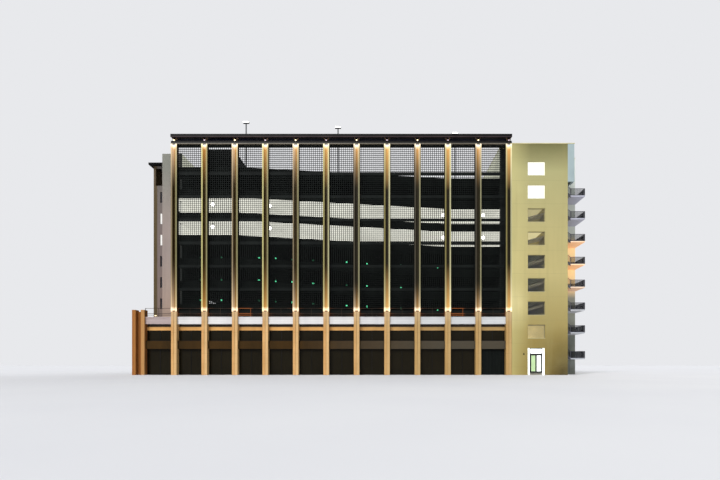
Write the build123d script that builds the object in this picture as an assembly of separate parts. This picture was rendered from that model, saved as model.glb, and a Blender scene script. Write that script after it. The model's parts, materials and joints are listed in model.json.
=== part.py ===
from build123d import *
import os

# Multi storey car park, one half of real size. Millimetres, +Z up, front elevation facing -Y.
# The drawing frame below has X = 0 at the left face of the pylon and Y = 0 at the front of the fins.
# Everything is moved at the end so that the origin is the centre of the footprint at ground level.

# Storeys and decks
GROUND_STOREY = 2175.0
STOREY = 1600.0
DECKS = 8
SLAB_T = 125.0
GROUND_T = 150.0
PARAPET_H = 425.0
PARAPET_T = 75.0
MODULE_D = 8125.0
SPINE_W = 250.0

# Front bays
BAYS = 11
BAY_W = 2095.0
END_BAYS = 2
FIRST_FIN_X = 2870.0
DECK_SETBACK = 600.0
DECK_LEFT_INSET = 140.0
DECK_RIGHT_INSET = 455.0

# Columns
COLUMN_W = 300.0
COLUMN_D = 200.0

# Fins and pilasters
FIN_W = 410.0
FIN_D = 300.0
FIN_FLANGE = 95.0
FIN_RECESS = 200.0
FIN_TOP = 15900.0
PILASTER_W = 375.0
PILASTER_D = 400.0
PILASTER_H = 4360.0
FIN_BRACKET_W = 120.0
BRACKET_STEP = 2
CANOPY_DECK = 2
SEAM_W = 16.0
SEAM_D = 12.0

# Screens between the fins
SCREEN_Y = 160.0
SCREEN_T = 50.0
SCREEN_BAR = 45.0
SCREEN_HEAD = 140.0
TRANSOM_H = 200.0
TRANSOM_UP = 450.0

# Canopy band, beams and shopfront between the pilasters
CANOPY_BOTTOM = 3517.0
CANOPY_H = 496.0
CANOPY_Y = 100.0
CANOPY_LIP = 25.0
CANOPY_LIP_H = 80.0
CANOPY_WALL = 40.0
BULKHEAD_BOTTOM = 3090.0
BULKHEAD_H = 244.0
BULKHEAD_T = 80.0
UPSTAND_T = 30.0
SIGN_BOTTOM = 1800.0
SIGN_H = 555.0
SIGN_D = 250.0
GLAZING_Y = 340.0
GLASS_T = 16.0
MULLION_W = 40.0
MULLION_D = 60.0
SHOP_PANES = 2
LOUVRE_RIB = 50.0
LOUVRE_GAP = 50.0

# Terrace railing
RAIL_Y = 118.0
RAIL_H = 600.0
RAIL_BAR = 24.0
RAIL_POST = 30.0
LOW_RAILS = 2
LOW_RAIL_STEP = 110.0

# Cap frame over the fins
CAP_RAIL_H = 75.0
CAP_BEAM_H = 140.0
CAP_BEAM_INSET = 20.0
CAP_OPEN_H = 260.0
CAP_FASCIA_H = 175.0
CAP_DEPTH = 450.0
CAP_OUT = 60.0
CAP_ARM_FOOT = 70.0
CAP_ARM_SPREAD = 380.0
CAP_ARM_W = 60.0
CAP_ARM_D = 120.0

# Left pylon and podium
PYLON_W = 845.0
PYLON_D = 400.0
PYLON_H = 4480.0
PYLON_FLANGE = 240.0
PYLON_RECESS = 200.0
PYLON_DROP = 110.0
COPING_H = 50.0
COPING_OUT = 20.0
PODIUM_WALL = 120.0

# Left core
CORE_STEP_X = 1310.0
CORE_FRONT_Y = 1400.0
CORE_SLOT_Y = 2600.0
CORE_BACK_Y = 5200.0
CORE_WALL = 100.0
CORE_STOREY = 1475.0
CORE_PARAPET = 300.0
CORE_EAVES = 250.0
CORE_ROOF_T = 150.0
SLOT_W = 150.0
SLOT_H = 800.0
SLOT_UP = 720.0
SLOTS = 6
SLOT_X = 490.0
LOGGIA_W = 1100.0
LOGGIA_H = 1300.0

# Stair and lift tower
TOWER_W = 3841.0
TOWER_GAP = 475.0
TOWER_WALL = 150.0
TOWER_OVER = 1240.0
TOWER_PARAPET = 500.0
WINDOW_LEFT = 1094.0
WINDOW_W = 1188.0
WINDOW_H = 950.0
WINDOW_UP = 335.0
WINDOW_INSET = 70.0
WINDOW_FRAME = 36.0
INNER_WALL_X = 2520.0

# Entrance in the tower
DOOR_HEAD = 1854.0
DOOR_POST = 45.0
DOOR_POST_D = 60.0
DOOR_FRAME_W = 872.0
DOOR_LEAF_TOP = 1400.0
DOOR_BAR_H = 70.0
DOOR_T = 30.0
DOOR_STILE = 48.0
DOOR_GAP = 6.0
DOOR_GLASS_T = 8.0
HINGE_R = 8.0
HINGE_GAP = 0.3
HINGE_H = 60.0
HINGE_OUT = 10.0
HINGE_STRAP = 40.0
HINGE_STRAP_T = 5.0
HINGE_UP = 180.0

# Escape stair at the right
STAIR_FRONT_Y = 550.0
FLIGHT_W = 675.0
FLIGHT_GAP = 100.0
FLIGHT_RUN = 1100.0
FLIGHT_TREADS = 8
TREAD_T = 30.0
MID_LANDING = 1010.0
LANDING_T = 70.0
STRINGER_H = 150.0
STRINGER_T = 25.0
GUARD_H = 500.0
GUARD_BAR = 24.0
GUARD_BAYS = 1
GUARD_SIDE_BAYS = 2
FLIGHT_GUARD_BAYS = 2
STAIR_WALL = 120.0
HEAD_STRIP = 453.0

# Roof
MAST_H = 3700.0
MAST_PLACES = (4671.0, 11196.0, 19493.0)
MAST_R = 45.0
MAST_FOOT = 200.0
MAST_FOOT_T = 30.0
MAST_Y = 900.0
LAMP_W = 420.0
LAMP_D = 160.0
LAMP_H = 90.0
PLANT_W = 2100.0
PLANT_D = 2400.0
PLANT_H = 1840.0
PLANT_X = 2650.0
PLANT_Y = 1200.0
PLANT_ROOF_T = 80.0
PLANT_ROOF_OUT = 60.0

# Places worked out from the sizes above
FINS = BAYS + 1
LAST_FIN_X = FIRST_FIN_X + BAYS * BAY_W
DECK_X0 = FIRST_FIN_X - DECK_LEFT_INSET
DECK_X1 = LAST_FIN_X - DECK_RIGHT_INSET
RAMP_X0 = FIRST_FIN_X + END_BAYS * BAY_W
RAMP_X1 = LAST_FIN_X - END_BAYS * BAY_W
SPINE_Y0 = DECK_SETBACK + MODULE_D
SPINE_Y1 = SPINE_Y0 + SPINE_W
REAR_Y = SPINE_Y1 + MODULE_D
BACK_Y = REAR_Y + COLUMN_D
RISE = STOREY / 2
TOP_RIGHT = GROUND_STOREY + (DECKS - 1) * STOREY
TOP_LEFT = TOP_RIGHT + RISE
TOWER_D = SPINE_Y0 - TOWER_GAP
TOWER_H = TOP_RIGHT + WINDOW_UP + WINDOW_H + TOWER_OVER
CORE_LOW_H = TOP_LEFT + CORE_STOREY
CORE_H = CORE_LOW_H + CORE_PARAPET
INNER_LINES = [2 * END_BAYS, BAYS - 2 * END_BAYS + 1]
COLUMN_FINS = [0, END_BAYS] + INNER_LINES + [BAYS - END_BAYS]
TOWER_X0 = LAST_FIN_X + FIN_W / 2
TOWER_X1 = TOWER_X0 + TOWER_W
INNER_X1 = TOWER_X0 + INNER_WALL_X
LANDING_X0 = TOWER_X1 + HEAD_STRIP
LANDING_X1 = LANDING_X0 + MID_LANDING
STAIR_MID_Y = STAIR_FRONT_Y + FLIGHT_W + FLIGHT_GAP
STAIR_BACK_Y = STAIR_MID_Y + FLIGHT_W
WINDOW_X0 = TOWER_X0 + WINDOW_LEFT
WINDOW_X1 = WINDOW_X0 + WINDOW_W
CANOPY_TOP = CANOPY_BOTTOM + CANOPY_H
CAP_LOW = FIN_TOP + CAP_RAIL_H + CAP_BEAM_H
CAP_HIGH = CAP_LOW + CAP_OPEN_H
CORE_X1 = DECK_X0
CENTRE_X = (LANDING_X1 - CORE_EAVES) / 2
CENTRE_Y = (BACK_Y - CAP_OUT) / 2


def block(x0, x1, y0, y1, z0, z1):
    """A plain box between two corners."""
    middle = Pos((x0 + x1) / 2, (y0 + y1) / 2, (z0 + z1) / 2)
    return middle * Box(x1 - x0, y1 - y0, z1 - z0)


def along_y(points, y0, y1):
    """A prism whose outline is drawn in X and Z."""
    face = Face(Wire.make_polygon([Vector(x, y0, z) for x, z in points], close=True))
    return extrude(face, amount=y1 - y0, dir=(0, 1, 0))


def along_x(points, x0, x1):
    """A prism whose outline is drawn in Y and Z."""
    face = Face(Wire.make_polygon([Vector(x0, y, z) for y, z in points], close=True))
    return extrude(face, amount=x1 - x0, dir=(1, 0, 0))


def along_z(points, z0, z1):
    """A prism whose outline is drawn in X and Y."""
    face = Face(Wire.make_polygon([Vector(x, y, z0) for x, y in points], close=True))
    return extrude(face, amount=z1 - z0, dir=(0, 0, 1))


def fin_x(number):
    """Centre of a fin, counted from 0 at the left."""
    return FIRST_FIN_X + number * BAY_W


def right_level(deck):
    """Top of a deck at its right end."""
    return GROUND_STOREY + (deck - 1) * STOREY


def left_level(deck):
    """Top of a deck at its left end, half a storey up the ramp."""
    return right_level(deck) + RISE


def front_level(deck, x):
    """Top of a front deck, which climbs from right to left between its level ends."""
    share = min(1.0, max(0.0, (RAMP_X1 - x) / (RAMP_X1 - RAMP_X0)))
    return right_level(deck) + RISE * share


def ramp(x0, z0, x1, z1, y0, y1):
    """A sloping slab with its top running from z0 to z1."""
    outline = [(x0, z0 - SLAB_T), (x1, z1 - SLAB_T), (x1, z1), (x0, z0)]
    return along_y(outline, y0, y1)


def guard_wall(stations, y0, y1):
    """A parapet standing on the deck tops given as (x, z) stations."""
    foot = list(stations)
    head = [(x, z + PARAPET_H) for x, z in reversed(foot)]
    return along_y(foot + head, y0, y1)


# Ground and decks
def ground_slab():
    front = block(DECK_X0, DECK_X1, DECK_SETBACK, SPINE_Y0, 0, GROUND_T)
    rear = block(DECK_X0, DECK_X1, SPINE_Y1, REAR_Y, 0, GROUND_T)
    left = block(DECK_X0, RAMP_X0, SPINE_Y0, SPINE_Y1, 0, GROUND_T)
    right = block(RAMP_X1, DECK_X1, SPINE_Y0, SPINE_Y1, 0, GROUND_T)
    return [front + rear + left + right]


def left_end_decks():
    levels = [left_level(k) for k in range(1, DECKS + 1)]
    return [block(DECK_X0, RAMP_X0, DECK_SETBACK, REAR_Y, z - SLAB_T, z) for z in levels]


def right_end_decks():
    levels = [right_level(k) for k in range(1, DECKS + 1)]
    return [block(RAMP_X1, DECK_X1, DECK_SETBACK, REAR_Y, z - SLAB_T, z) for z in levels]


def front_ramp_decks():
    decks = range(1, DECKS + 1)
    return [
        ramp(RAMP_X0, left_level(k), RAMP_X1, right_level(k), DECK_SETBACK, SPINE_Y0)
        for k in decks
    ]


def rear_ramp_decks():
    slope = (GROUND_STOREY - GROUND_T) / (RAMP_X1 - RAMP_X0)
    entry = along_y(
        [
            (RAMP_X0, GROUND_T),
            (RAMP_X0 + SLAB_T / slope, GROUND_T),
            (RAMP_X1, GROUND_STOREY - SLAB_T),
            (RAMP_X1, GROUND_STOREY),
        ],
        SPINE_Y1,
        REAR_Y,
    )
    upper = [
        ramp(RAMP_X0, left_level(k), RAMP_X1, right_level(k + 1), SPINE_Y1, REAR_Y)
        for k in range(1, DECKS)
    ]
    return [entry] + upper


# Columns stand outside the slab edges and carry them
def front_columns():
    return [
        block(
            fin_x(n) - COLUMN_W / 2,
            fin_x(n) + COLUMN_W / 2,
            DECK_SETBACK - COLUMN_D,
            DECK_SETBACK,
            0,
            front_level(DECKS, fin_x(n)),
        )
        for n in COLUMN_FINS
    ]


def inner_columns(y0, y1, foot, rear):
    """Columns at the level ends' edges and at the inner grid lines."""
    places = [(RAMP_X0, TOP_LEFT)]
    for n in INNER_LINES:
        top = TOP_RIGHT if rear else front_level(DECKS, fin_x(n))
        places.append((fin_x(n) - COLUMN_W / 2, top))
    places.append((RAMP_X1 - COLUMN_W, TOP_RIGHT))
    return [block(x, x + COLUMN_W, y0, y1, foot, top) for x, top in places]


def spine_columns():
    left = block(DECK_X0 - COLUMN_W, DECK_X0, SPINE_Y0, SPINE_Y1, 0, TOP_LEFT)
    right = block(DECK_X1, DECK_X1 + COLUMN_W, SPINE_Y0, SPINE_Y1, 0, TOP_RIGHT)
    return [left, right] + inner_columns(SPINE_Y0, SPINE_Y1, 0, rear=False)


def rear_columns():
    left = block(DECK_X0, DECK_X0 + COLUMN_W, REAR_Y, BACK_Y, 0, TOP_LEFT)
    right = block(DECK_X1 - COLUMN_W, DECK_X1, REAR_Y, BACK_Y, 0, TOP_RIGHT)
    return [left, right] + inner_columns(REAR_Y, BACK_Y, 0, rear=True)


# Parapets along the deck edges
def front_parapets():
    y1 = DECK_SETBACK + PARAPET_T
    walls = []
    for k in range(1, DECKS + 1):
        stations = [
            (DECK_X0, left_level(k)),
            (RAMP_X0, left_level(k)),
            (RAMP_X1, right_level(k)),
            (DECK_X1, right_level(k)),
        ]
        walls.append(guard_wall(stations, DECK_SETBACK, y1))
    return walls


def rear_parapets():
    y0 = REAR_Y - PARAPET_T
    entry = [(RAMP_X0, GROUND_T), (RAMP_X1, GROUND_STOREY), (DECK_X1, GROUND_STOREY)]
    walls = [guard_wall(entry, y0, REAR_Y)]
    for k in range(1, DECKS):
        stations = [
            (DECK_X0, left_level(k)),
            (RAMP_X0, left_level(k)),
            (RAMP_X1, right_level(k + 1)),
            (DECK_X1, right_level(k + 1)),
        ]
        walls.append(guard_wall(stations, y0, REAR_Y))
    top = TOP_LEFT
    walls.append(guard_wall([(DECK_X0, top), (RAMP_X0, top)], y0, REAR_Y))
    return walls


def end_parapets():
    y1 = REAR_Y - PARAPET_T
    walls = []
    for k in range(1, DECKS + 1):
        z = left_level(k)
        walls.append(block(DECK_X0, DECK_X0 + PARAPET_T, CORE_BACK_Y, y1, z, z + PARAPET_H))
        front = DECK_SETBACK + PARAPET_T
        walls.append(block(DECK_X0, DECK_X0 + PARAPET_T, front, CORE_FRONT_Y, z, z + PARAPET_H))
        z = right_level(k)
        walls.append(block(DECK_X1 - PARAPET_T, DECK_X1, TOWER_D, y1, z, z + PARAPET_H))
    return walls


def roof_edge_parapets():
    top = TOP_LEFT
    x0 = RAMP_X0 - PARAPET_T
    y1 = REAR_Y - PARAPET_T
    across = block(x0, RAMP_X0, SPINE_Y1, y1, top, top + PARAPET_H)
    stations = [(RAMP_X0, top), (RAMP_X1, TOP_RIGHT)]
    along = guard_wall(stations, SPINE_Y0 - PARAPET_T, SPINE_Y0)
    return [across, along]


def ground_walls():
    head = GROUND_STOREY - SLAB_T
    left_head = left_level(1) - SLAB_T
    starts = [RAMP_X0 + COLUMN_W] + [fin_x(n) + COLUMN_W / 2 for n in INNER_LINES] + [RAMP_X1]
    ends = [fin_x(n) - COLUMN_W / 2 for n in INNER_LINES]
    ends += [RAMP_X1 - COLUMN_W, DECK_X1 - COLUMN_W]
    y1 = REAR_Y + PARAPET_T
    rear = [block(a, b, REAR_Y, y1, 0, head) for a, b in zip(starts, ends)]
    x0 = DECK_X0 - PARAPET_T
    x1 = DECK_X1 + PARAPET_T
    left_rear = block(x0, DECK_X0, SPINE_Y1, REAR_Y, 0, left_head)
    left_front = block(x0, DECK_X0, CORE_BACK_Y, SPINE_Y0, 0, left_head)
    right = block(DECK_X1, x1, SPINE_Y1, REAR_Y, 0, head)
    return rear + [left_rear, left_front, right]


# Fins, pilasters and screens of the front
def front_fins():
    half = FIN_W / 2
    inner = half - FIN_FLANGE
    channel = [
        (-half, 0),
        (-inner, 0),
        (-inner, FIN_RECESS),
        (inner, FIN_RECESS),
        (inner, 0),
        (half, 0),
        (half, FIN_D),
        (-half, FIN_D),
    ]
    fin = along_z(channel, PILASTER_H, FIN_TOP)
    return [Pos(fin_x(n), 0, 0) * fin for n in range(FINS)]


def fin_brackets():
    """Outriggers from the deck edges and columns that hold the fins back."""
    half = FIN_BRACKET_W / 2
    brackets = []
    for n in range(FINS):
        x = fin_x(n)
        y1 = DECK_SETBACK - COLUMN_D if n in COLUMN_FINS else DECK_SETBACK
        for k in range(DECKS, CANOPY_DECK, -BRACKET_STEP):
            z = front_level(k, x)
            brackets.append(block(x - half, x + half, FIN_D, y1, z - SLAB_T, z))
    return brackets


def front_pilasters():
    half = PILASTER_W / 2
    seam = SEAM_W / 2
    plan = [
        (-half, 0),
        (-seam, 0),
        (-seam, SEAM_D),
        (seam, SEAM_D),
        (seam, 0),
        (half, 0),
        (half, PILASTER_D),
        (-half, PILASTER_D),
    ]
    pilaster = along_z(plan, 0, PILASTER_H)
    return [Pos(fin_x(n), 0, 0) * pilaster for n in range(FINS)]


def screen_frames():
    """Rails from fin to fin that hold the mesh: foot, one for each storey, and head."""
    y1 = SCREEN_Y + SCREEN_T
    spans = [(CANOPY_TOP, CANOPY_TOP + SCREEN_BAR), (FIN_TOP - SCREEN_HEAD, FIN_TOP)]
    lines = [right_level(k) + TRANSOM_UP for k in range(2, DECKS + 1)]
    spans += [(z, z + TRANSOM_H) for z in lines]
    rails = []
    for n in range(BAYS):
        x0 = fin_x(n) + FIN_W / 2
        x1 = fin_x(n + 1) - FIN_W / 2
        rails += [block(x0, x1, SCREEN_Y, y1, low, high) for low, high in spans]
    return rails


def bay_spans():
    """Clear spans between the pylon and the pilasters, left to right."""
    starts = [PYLON_W] + [fin_x(n) + PILASTER_W / 2 for n in range(BAYS)]
    ends = [fin_x(n) - PILASTER_W / 2 for n in range(FINS)]
    return list(zip(starts, ends))


def canopy_bands():
    top = CANOPY_TOP
    low = CANOPY_BOTTOM
    web = CANOPY_Y + CANOPY_LIP
    profile = [
        (CANOPY_Y, low),
        (CANOPY_Y, low + CANOPY_LIP_H),
        (web, low + CANOPY_LIP_H),
        (web, top - CANOPY_LIP_H),
        (CANOPY_Y, top - CANOPY_LIP_H),
        (CANOPY_Y, top),
        (DECK_SETBACK, top),
        (DECK_SETBACK, top - CANOPY_WALL),
        (web + CANOPY_WALL, top - CANOPY_WALL),
        (web + CANOPY_WALL, low + CANOPY_WALL),
        (PILASTER_D, low + CANOPY_WALL),
        (PILASTER_D, low),
    ]
    return [along_x(profile, a, b) for a, b in bay_spans()]


def bulkhead_beams():
    """Beams over the shopfront, with an upstand set back under the canopy."""
    face = PILASTER_D - BULKHEAD_T
    ledge = PILASTER_D - UPSTAND_T
    top = BULKHEAD_BOTTOM + BULKHEAD_H
    profile = [
        (face, BULKHEAD_BOTTOM),
        (PILASTER_D, BULKHEAD_BOTTOM),
        (PILASTER_D, CANOPY_BOTTOM),
        (ledge, CANOPY_BOTTOM),
        (ledge, top),
        (face, top),
    ]
    return [along_x(profile, a, b) for a, b in bay_spans()]


def sign_bands():
    y0 = PILASTER_D - SIGN_D
    return [block(a, b, y0, PILASTER_D, SIGN_BOTTOM, SIGN_BOTTOM + SIGN_H) for a, b in bay_spans()]


def glazed_frame(a, b, z0, z1):
    """One storey of shopfront framing across a bay."""
    y1 = GLAZING_Y + MULLION_D
    frame = block(a, b, GLAZING_Y, y1, z0, z1)
    pane = (b - a - (SHOP_PANES + 1) * MULLION_W) / SHOP_PANES
    for n in range(SHOP_PANES):
        left = a + MULLION_W + n * (pane + MULLION_W)
        frame -= block(left, left + pane, GLAZING_Y, y1, z0 + MULLION_W, z1 - MULLION_W)
    return frame


def glazed_panes(a, b, z0, z1):
    """The panes that fill one shopfront frame."""
    middle = GLAZING_Y + MULLION_D / 2
    pane = (b - a - (SHOP_PANES + 1) * MULLION_W) / SHOP_PANES
    panes = []
    for n in range(SHOP_PANES):
        left = a + MULLION_W + n * (pane + MULLION_W)
        y0 = middle - GLASS_T / 2
        panes.append(block(left, left + pane, y0, y0 + GLASS_T, z0 + MULLION_W, z1 - MULLION_W))
    return panes


def shop_openings():
    """Lower and upper openings of each bay, without the louvred one."""
    spans = bay_spans()
    lower = [(a, b, 0.0, SIGN_BOTTOM) for a, b in spans[:-1]]
    upper = [(a, b, SIGN_BOTTOM + SIGN_H, BULKHEAD_BOTTOM) for a, b in spans]
    return lower + upper


def shopfront_frames():
    return [glazed_frame(*opening) for opening in shop_openings()]


def shopfront_glass():
    panes = []
    for opening in shop_openings():
        panes += glazed_panes(*opening)
    return panes


def louvre_panel():
    a, b = bay_spans()[-1]
    back = GLAZING_Y + MULLION_D
    panel = block(a, b, back - GLASS_T, back, 0, SIGN_BOTTOM)
    count = int((b - a) / (LOUVRE_RIB + LOUVRE_GAP))
    step = (b - a) / count
    for n in range(count):
        left = a + (n + 0.5) * step - LOUVRE_RIB / 2
        panel += block(left, left + LOUVRE_RIB, GLAZING_Y, back - GLASS_T, 0, SIGN_BOTTOM)
    return [panel]


def railing(a, b, y0):
    """A railing on the canopy band: posts at the fins and level rails."""
    top = CANOPY_TOP + RAIL_H
    rail = block(a, b, y0, y0 + RAIL_BAR, top - RAIL_BAR, top)
    for n in range(1, LOW_RAILS + 1):
        z = CANOPY_TOP + n * LOW_RAIL_STEP
        rail += block(a, b, y0, y0 + RAIL_BAR, z, z + RAIL_BAR)
    for x in (a, b - RAIL_POST):
        rail += block(x, x + RAIL_POST, y0, y0 + RAIL_BAR, CANOPY_TOP, top)
    return rail


def terrace_railings():
    starts = [PYLON_W] + [fin_x(n) + FIN_W / 2 for n in range(BAYS)]
    ends = [fin_x(n) - FIN_W / 2 for n in range(FINS)]
    return [railing(a, b, RAIL_Y) for a, b in zip(starts, ends)]


def cap_rail():
    return [block(fin_x(0) - FIN_W / 2, TOWER_X0, 0, FIN_D, FIN_TOP, FIN_TOP + CAP_RAIL_H)]


def cap_beam():
    y1 = FIN_D - CAP_BEAM_INSET
    x0 = fin_x(0) - FIN_W / 2
    return [block(x0, TOWER_X0, CAP_BEAM_INSET, y1, FIN_TOP + CAP_RAIL_H, CAP_LOW)]


def cap_arms():
    """Forked brackets over the fins, between the beam and the cap."""
    foot = CAP_ARM_FOOT / 2
    reach = CAP_ARM_SPREAD / 2
    fork = [
        (-foot, CAP_LOW),
        (foot, CAP_LOW),
        (reach, CAP_HIGH),
        (reach - CAP_ARM_W, CAP_HIGH),
        (0, CAP_LOW + CAP_ARM_FOOT),
        (CAP_ARM_W - reach, CAP_HIGH),
        (-reach, CAP_HIGH),
    ]
    y0 = (FIN_D - CAP_ARM_D) / 2
    arm = along_y(fork, y0, y0 + CAP_ARM_D)
    return [Pos(fin_x(n), 0, 0) * arm for n in range(FINS)]


def cap_front():
    x0 = fin_x(0) - FIN_W / 2
    return [block(x0, TOWER_X0, -CAP_OUT, CAP_DEPTH, CAP_HIGH, CAP_HIGH + CAP_FASCIA_H)]


# Pylon and podium at the left
def left_pylon():
    inner = PYLON_FLANGE
    far = PYLON_W - PYLON_FLANGE
    plan = [
        (0, 0),
        (inner, 0),
        (inner, PYLON_RECESS),
        (far, PYLON_RECESS),
        (far, 0),
        (PYLON_W, 0),
        (PYLON_W, PYLON_D),
        (0, PYLON_D),
    ]
    body = along_z(plan, 0, PYLON_H - COPING_H)
    notch = block(inner, far, PYLON_RECESS, PYLON_D, PYLON_H - PYLON_DROP, PYLON_H)
    body -= notch
    top = PYLON_H - COPING_H
    body += block(0, inner, 0, PYLON_D, top, PYLON_H)
    body += block(far, PYLON_W, 0, PYLON_D, top, PYLON_H)
    return [body]


def podium_terrace():
    """Ground floor and terrace of the left podium bay."""
    x1 = CORE_X1
    floor = along_z(
        [
            (PODIUM_WALL, DECK_SETBACK),
            (x1, DECK_SETBACK),
            (x1, CORE_BACK_Y),
            (0, CORE_BACK_Y),
            (0, CORE_SLOT_Y),
            (PODIUM_WALL, CORE_SLOT_Y),
        ],
        0,
        GROUND_T,
    )
    y1 = CORE_FRONT_Y
    left_y1 = CORE_SLOT_Y
    top = CANOPY_TOP
    roof = along_z(
        [
            (0, PYLON_D),
            (PYLON_W, PYLON_D),
            (PYLON_W, DECK_SETBACK),
            (x1, DECK_SETBACK),
            (x1, y1),
            (CORE_STEP_X, y1),
            (CORE_STEP_X, left_y1),
            (0, left_y1),
        ],
        top - SLAB_T,
        top,
    )
    return [floor, roof]


def podium_side_wall():
    top = CANOPY_TOP - SLAB_T
    return [block(0, PODIUM_WALL, PYLON_D, CORE_SLOT_Y, 0, top)]


# Left core
def core_side_walls():
    left = block(0, CORE_WALL, CORE_SLOT_Y, CORE_BACK_Y, GROUND_T, CORE_LOW_H)
    x1 = CORE_STEP_X + CORE_WALL
    y1 = CORE_BACK_Y - CORE_WALL
    step = block(CORE_STEP_X, x1, CORE_FRONT_Y, y1, GROUND_T, CORE_H)
    right = block(CORE_X1 - CORE_WALL, CORE_X1, CORE_FRONT_Y, CORE_BACK_Y, GROUND_T, CORE_H)
    return [left, step, right]


def core_cross_walls():
    tall = block(
        CORE_STEP_X + CORE_WALL,
        CORE_X1 - CORE_WALL,
        CORE_FRONT_Y,
        CORE_FRONT_Y + CORE_WALL,
        GROUND_T,
        CORE_H,
    )
    y0 = CORE_BACK_Y - CORE_WALL
    back = block(CORE_WALL, CORE_X1 - CORE_WALL, y0, CORE_BACK_Y, GROUND_T, CORE_LOW_H)
    return [tall, back]


def slot_places():
    """Sill heights of the slot windows, one for each upper storey."""
    return [left_level(k) + SLOT_UP - SLOT_H / 2 for k in range(DECKS - SLOTS, DECKS)]


def core_slot_wall():
    y1 = CORE_SLOT_Y + CORE_WALL
    wall = block(CORE_WALL, CORE_STEP_X, CORE_SLOT_Y, y1, GROUND_T, CORE_LOW_H)
    for z in slot_places():
        wall -= block(SLOT_X, SLOT_X + SLOT_W, CORE_SLOT_Y, y1, z, z + SLOT_H)
    left = (CORE_WALL + CORE_STEP_X - LOGGIA_W) / 2
    wall -= block(left, left + LOGGIA_W, CORE_SLOT_Y, y1, TOP_LEFT, TOP_LEFT + LOGGIA_H)
    return [wall]


def core_slot_glass():
    y0 = CORE_SLOT_Y + CORE_WALL / 2
    return [
        block(SLOT_X, SLOT_X + SLOT_W, y0, y0 + GLASS_T, z, z + SLOT_H)
        for z in slot_places()
    ]


def core_floors():
    y0 = CORE_SLOT_Y + CORE_WALL
    y1 = CORE_BACK_Y - CORE_WALL
    return [
        block(CORE_WALL, CORE_STEP_X, y0, y1, left_level(k) - SLAB_T, left_level(k))
        for k in range(1, DECKS + 1)
    ]


def core_roofs():
    low = block(
        -CORE_EAVES,
        CORE_STEP_X,
        CORE_SLOT_Y - CORE_EAVES,
        CORE_BACK_Y,
        CORE_LOW_H,
        CORE_LOW_H + CORE_ROOF_T,
    )
    high = block(
        CORE_STEP_X + CORE_WALL,
        CORE_X1 - CORE_WALL,
        CORE_FRONT_Y + CORE_WALL,
        CORE_BACK_Y - CORE_WALL,
        CORE_LOW_H,
        CORE_LOW_H + CORE_ROOF_T,
    )
    return [low, high]


# Stair and lift tower
def window_sills():
    return [right_level(k) + WINDOW_UP for k in range(1, DECKS + 1)]


def tower_front_walls():
    left = block(TOWER_X0, WINDOW_X0, 0, TOWER_WALL, 0, TOWER_H)
    right = block(WINDOW_X1, TOWER_X1, 0, TOWER_WALL, 0, TOWER_H)
    back = block(DECK_X1, INNER_X1, TOWER_D - TOWER_WALL, TOWER_D, 0, TOWER_H)
    return [left, right, back]


def tower_spandrels():
    """Wall under, between and over the windows, above the entrance."""
    foot = DOOR_HEAD
    pieces = []
    for sill in window_sills():
        pieces.append(block(WINDOW_X0, WINDOW_X1, 0, TOWER_WALL, foot, sill))
        foot = sill + WINDOW_H
    pieces.append(block(WINDOW_X0, WINDOW_X1, 0, TOWER_WALL, foot, TOWER_H))
    return pieces


def tower_side_walls():
    jog = block(TOWER_X0, TOWER_X0 + TOWER_WALL, TOWER_WALL, DECK_SETBACK, 0, TOWER_H)
    left = block(
        DECK_X1, DECK_X1 + TOWER_WALL, DECK_SETBACK, TOWER_D - TOWER_WALL, 0, TOWER_H
    )
    right = block(INNER_X1 - TOWER_WALL, INNER_X1, TOWER_WALL, TOWER_D - TOWER_WALL, 0, TOWER_H)
    return [jog, left, right]


def tower_return_wall():
    return [
        block(
            DECK_X1 + TOWER_WALL,
            TOWER_X0 + TOWER_WALL,
            DECK_SETBACK,
            DECK_SETBACK + TOWER_WALL,
            0,
            TOWER_H,
        )
    ]


def tower_floors():
    x0 = DECK_X1 + TOWER_WALL
    x1 = INNER_X1 - TOWER_WALL
    y0 = DECK_SETBACK + TOWER_WALL
    y1 = TOWER_D - TOWER_WALL
    plan = [
        (TOWER_X0 + TOWER_WALL, TOWER_WALL),
        (x1, TOWER_WALL),
        (x1, y1),
        (x0, y1),
        (x0, y0),
        (TOWER_X0 + TOWER_WALL, y0),
    ]
    roof = TOWER_H - TOWER_PARAPET
    tops = [(0, GROUND_T)]
    tops += [(right_level(k) - SLAB_T, right_level(k)) for k in range(1, DECKS + 1)]
    tops.append((roof - SLAB_T, roof))
    return [along_z(plan, low, high) for low, high in tops]


def tower_window_frames():
    y1 = WINDOW_INSET + WINDOW_FRAME
    frames = []
    for z in window_sills():
        frame = block(WINDOW_X0, WINDOW_X1, WINDOW_INSET, y1, z, z + WINDOW_H)
        frame -= block(
            WINDOW_X0 + WINDOW_FRAME,
            WINDOW_X1 - WINDOW_FRAME,
            WINDOW_INSET,
            y1,
            z + WINDOW_FRAME,
            z + WINDOW_H - WINDOW_FRAME,
        )
        frames.append(frame)
    return frames


def tower_window_glass():
    y0 = WINDOW_INSET + (WINDOW_FRAME - GLASS_T) / 2
    return [
        block(
            WINDOW_X0 + WINDOW_FRAME,
            WINDOW_X1 - WINDOW_FRAME,
            y0,
            y0 + GLASS_T,
            z + WINDOW_FRAME,
            z + WINDOW_H - WINDOW_FRAME,
        )
        for z in window_sills()
    ]


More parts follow.
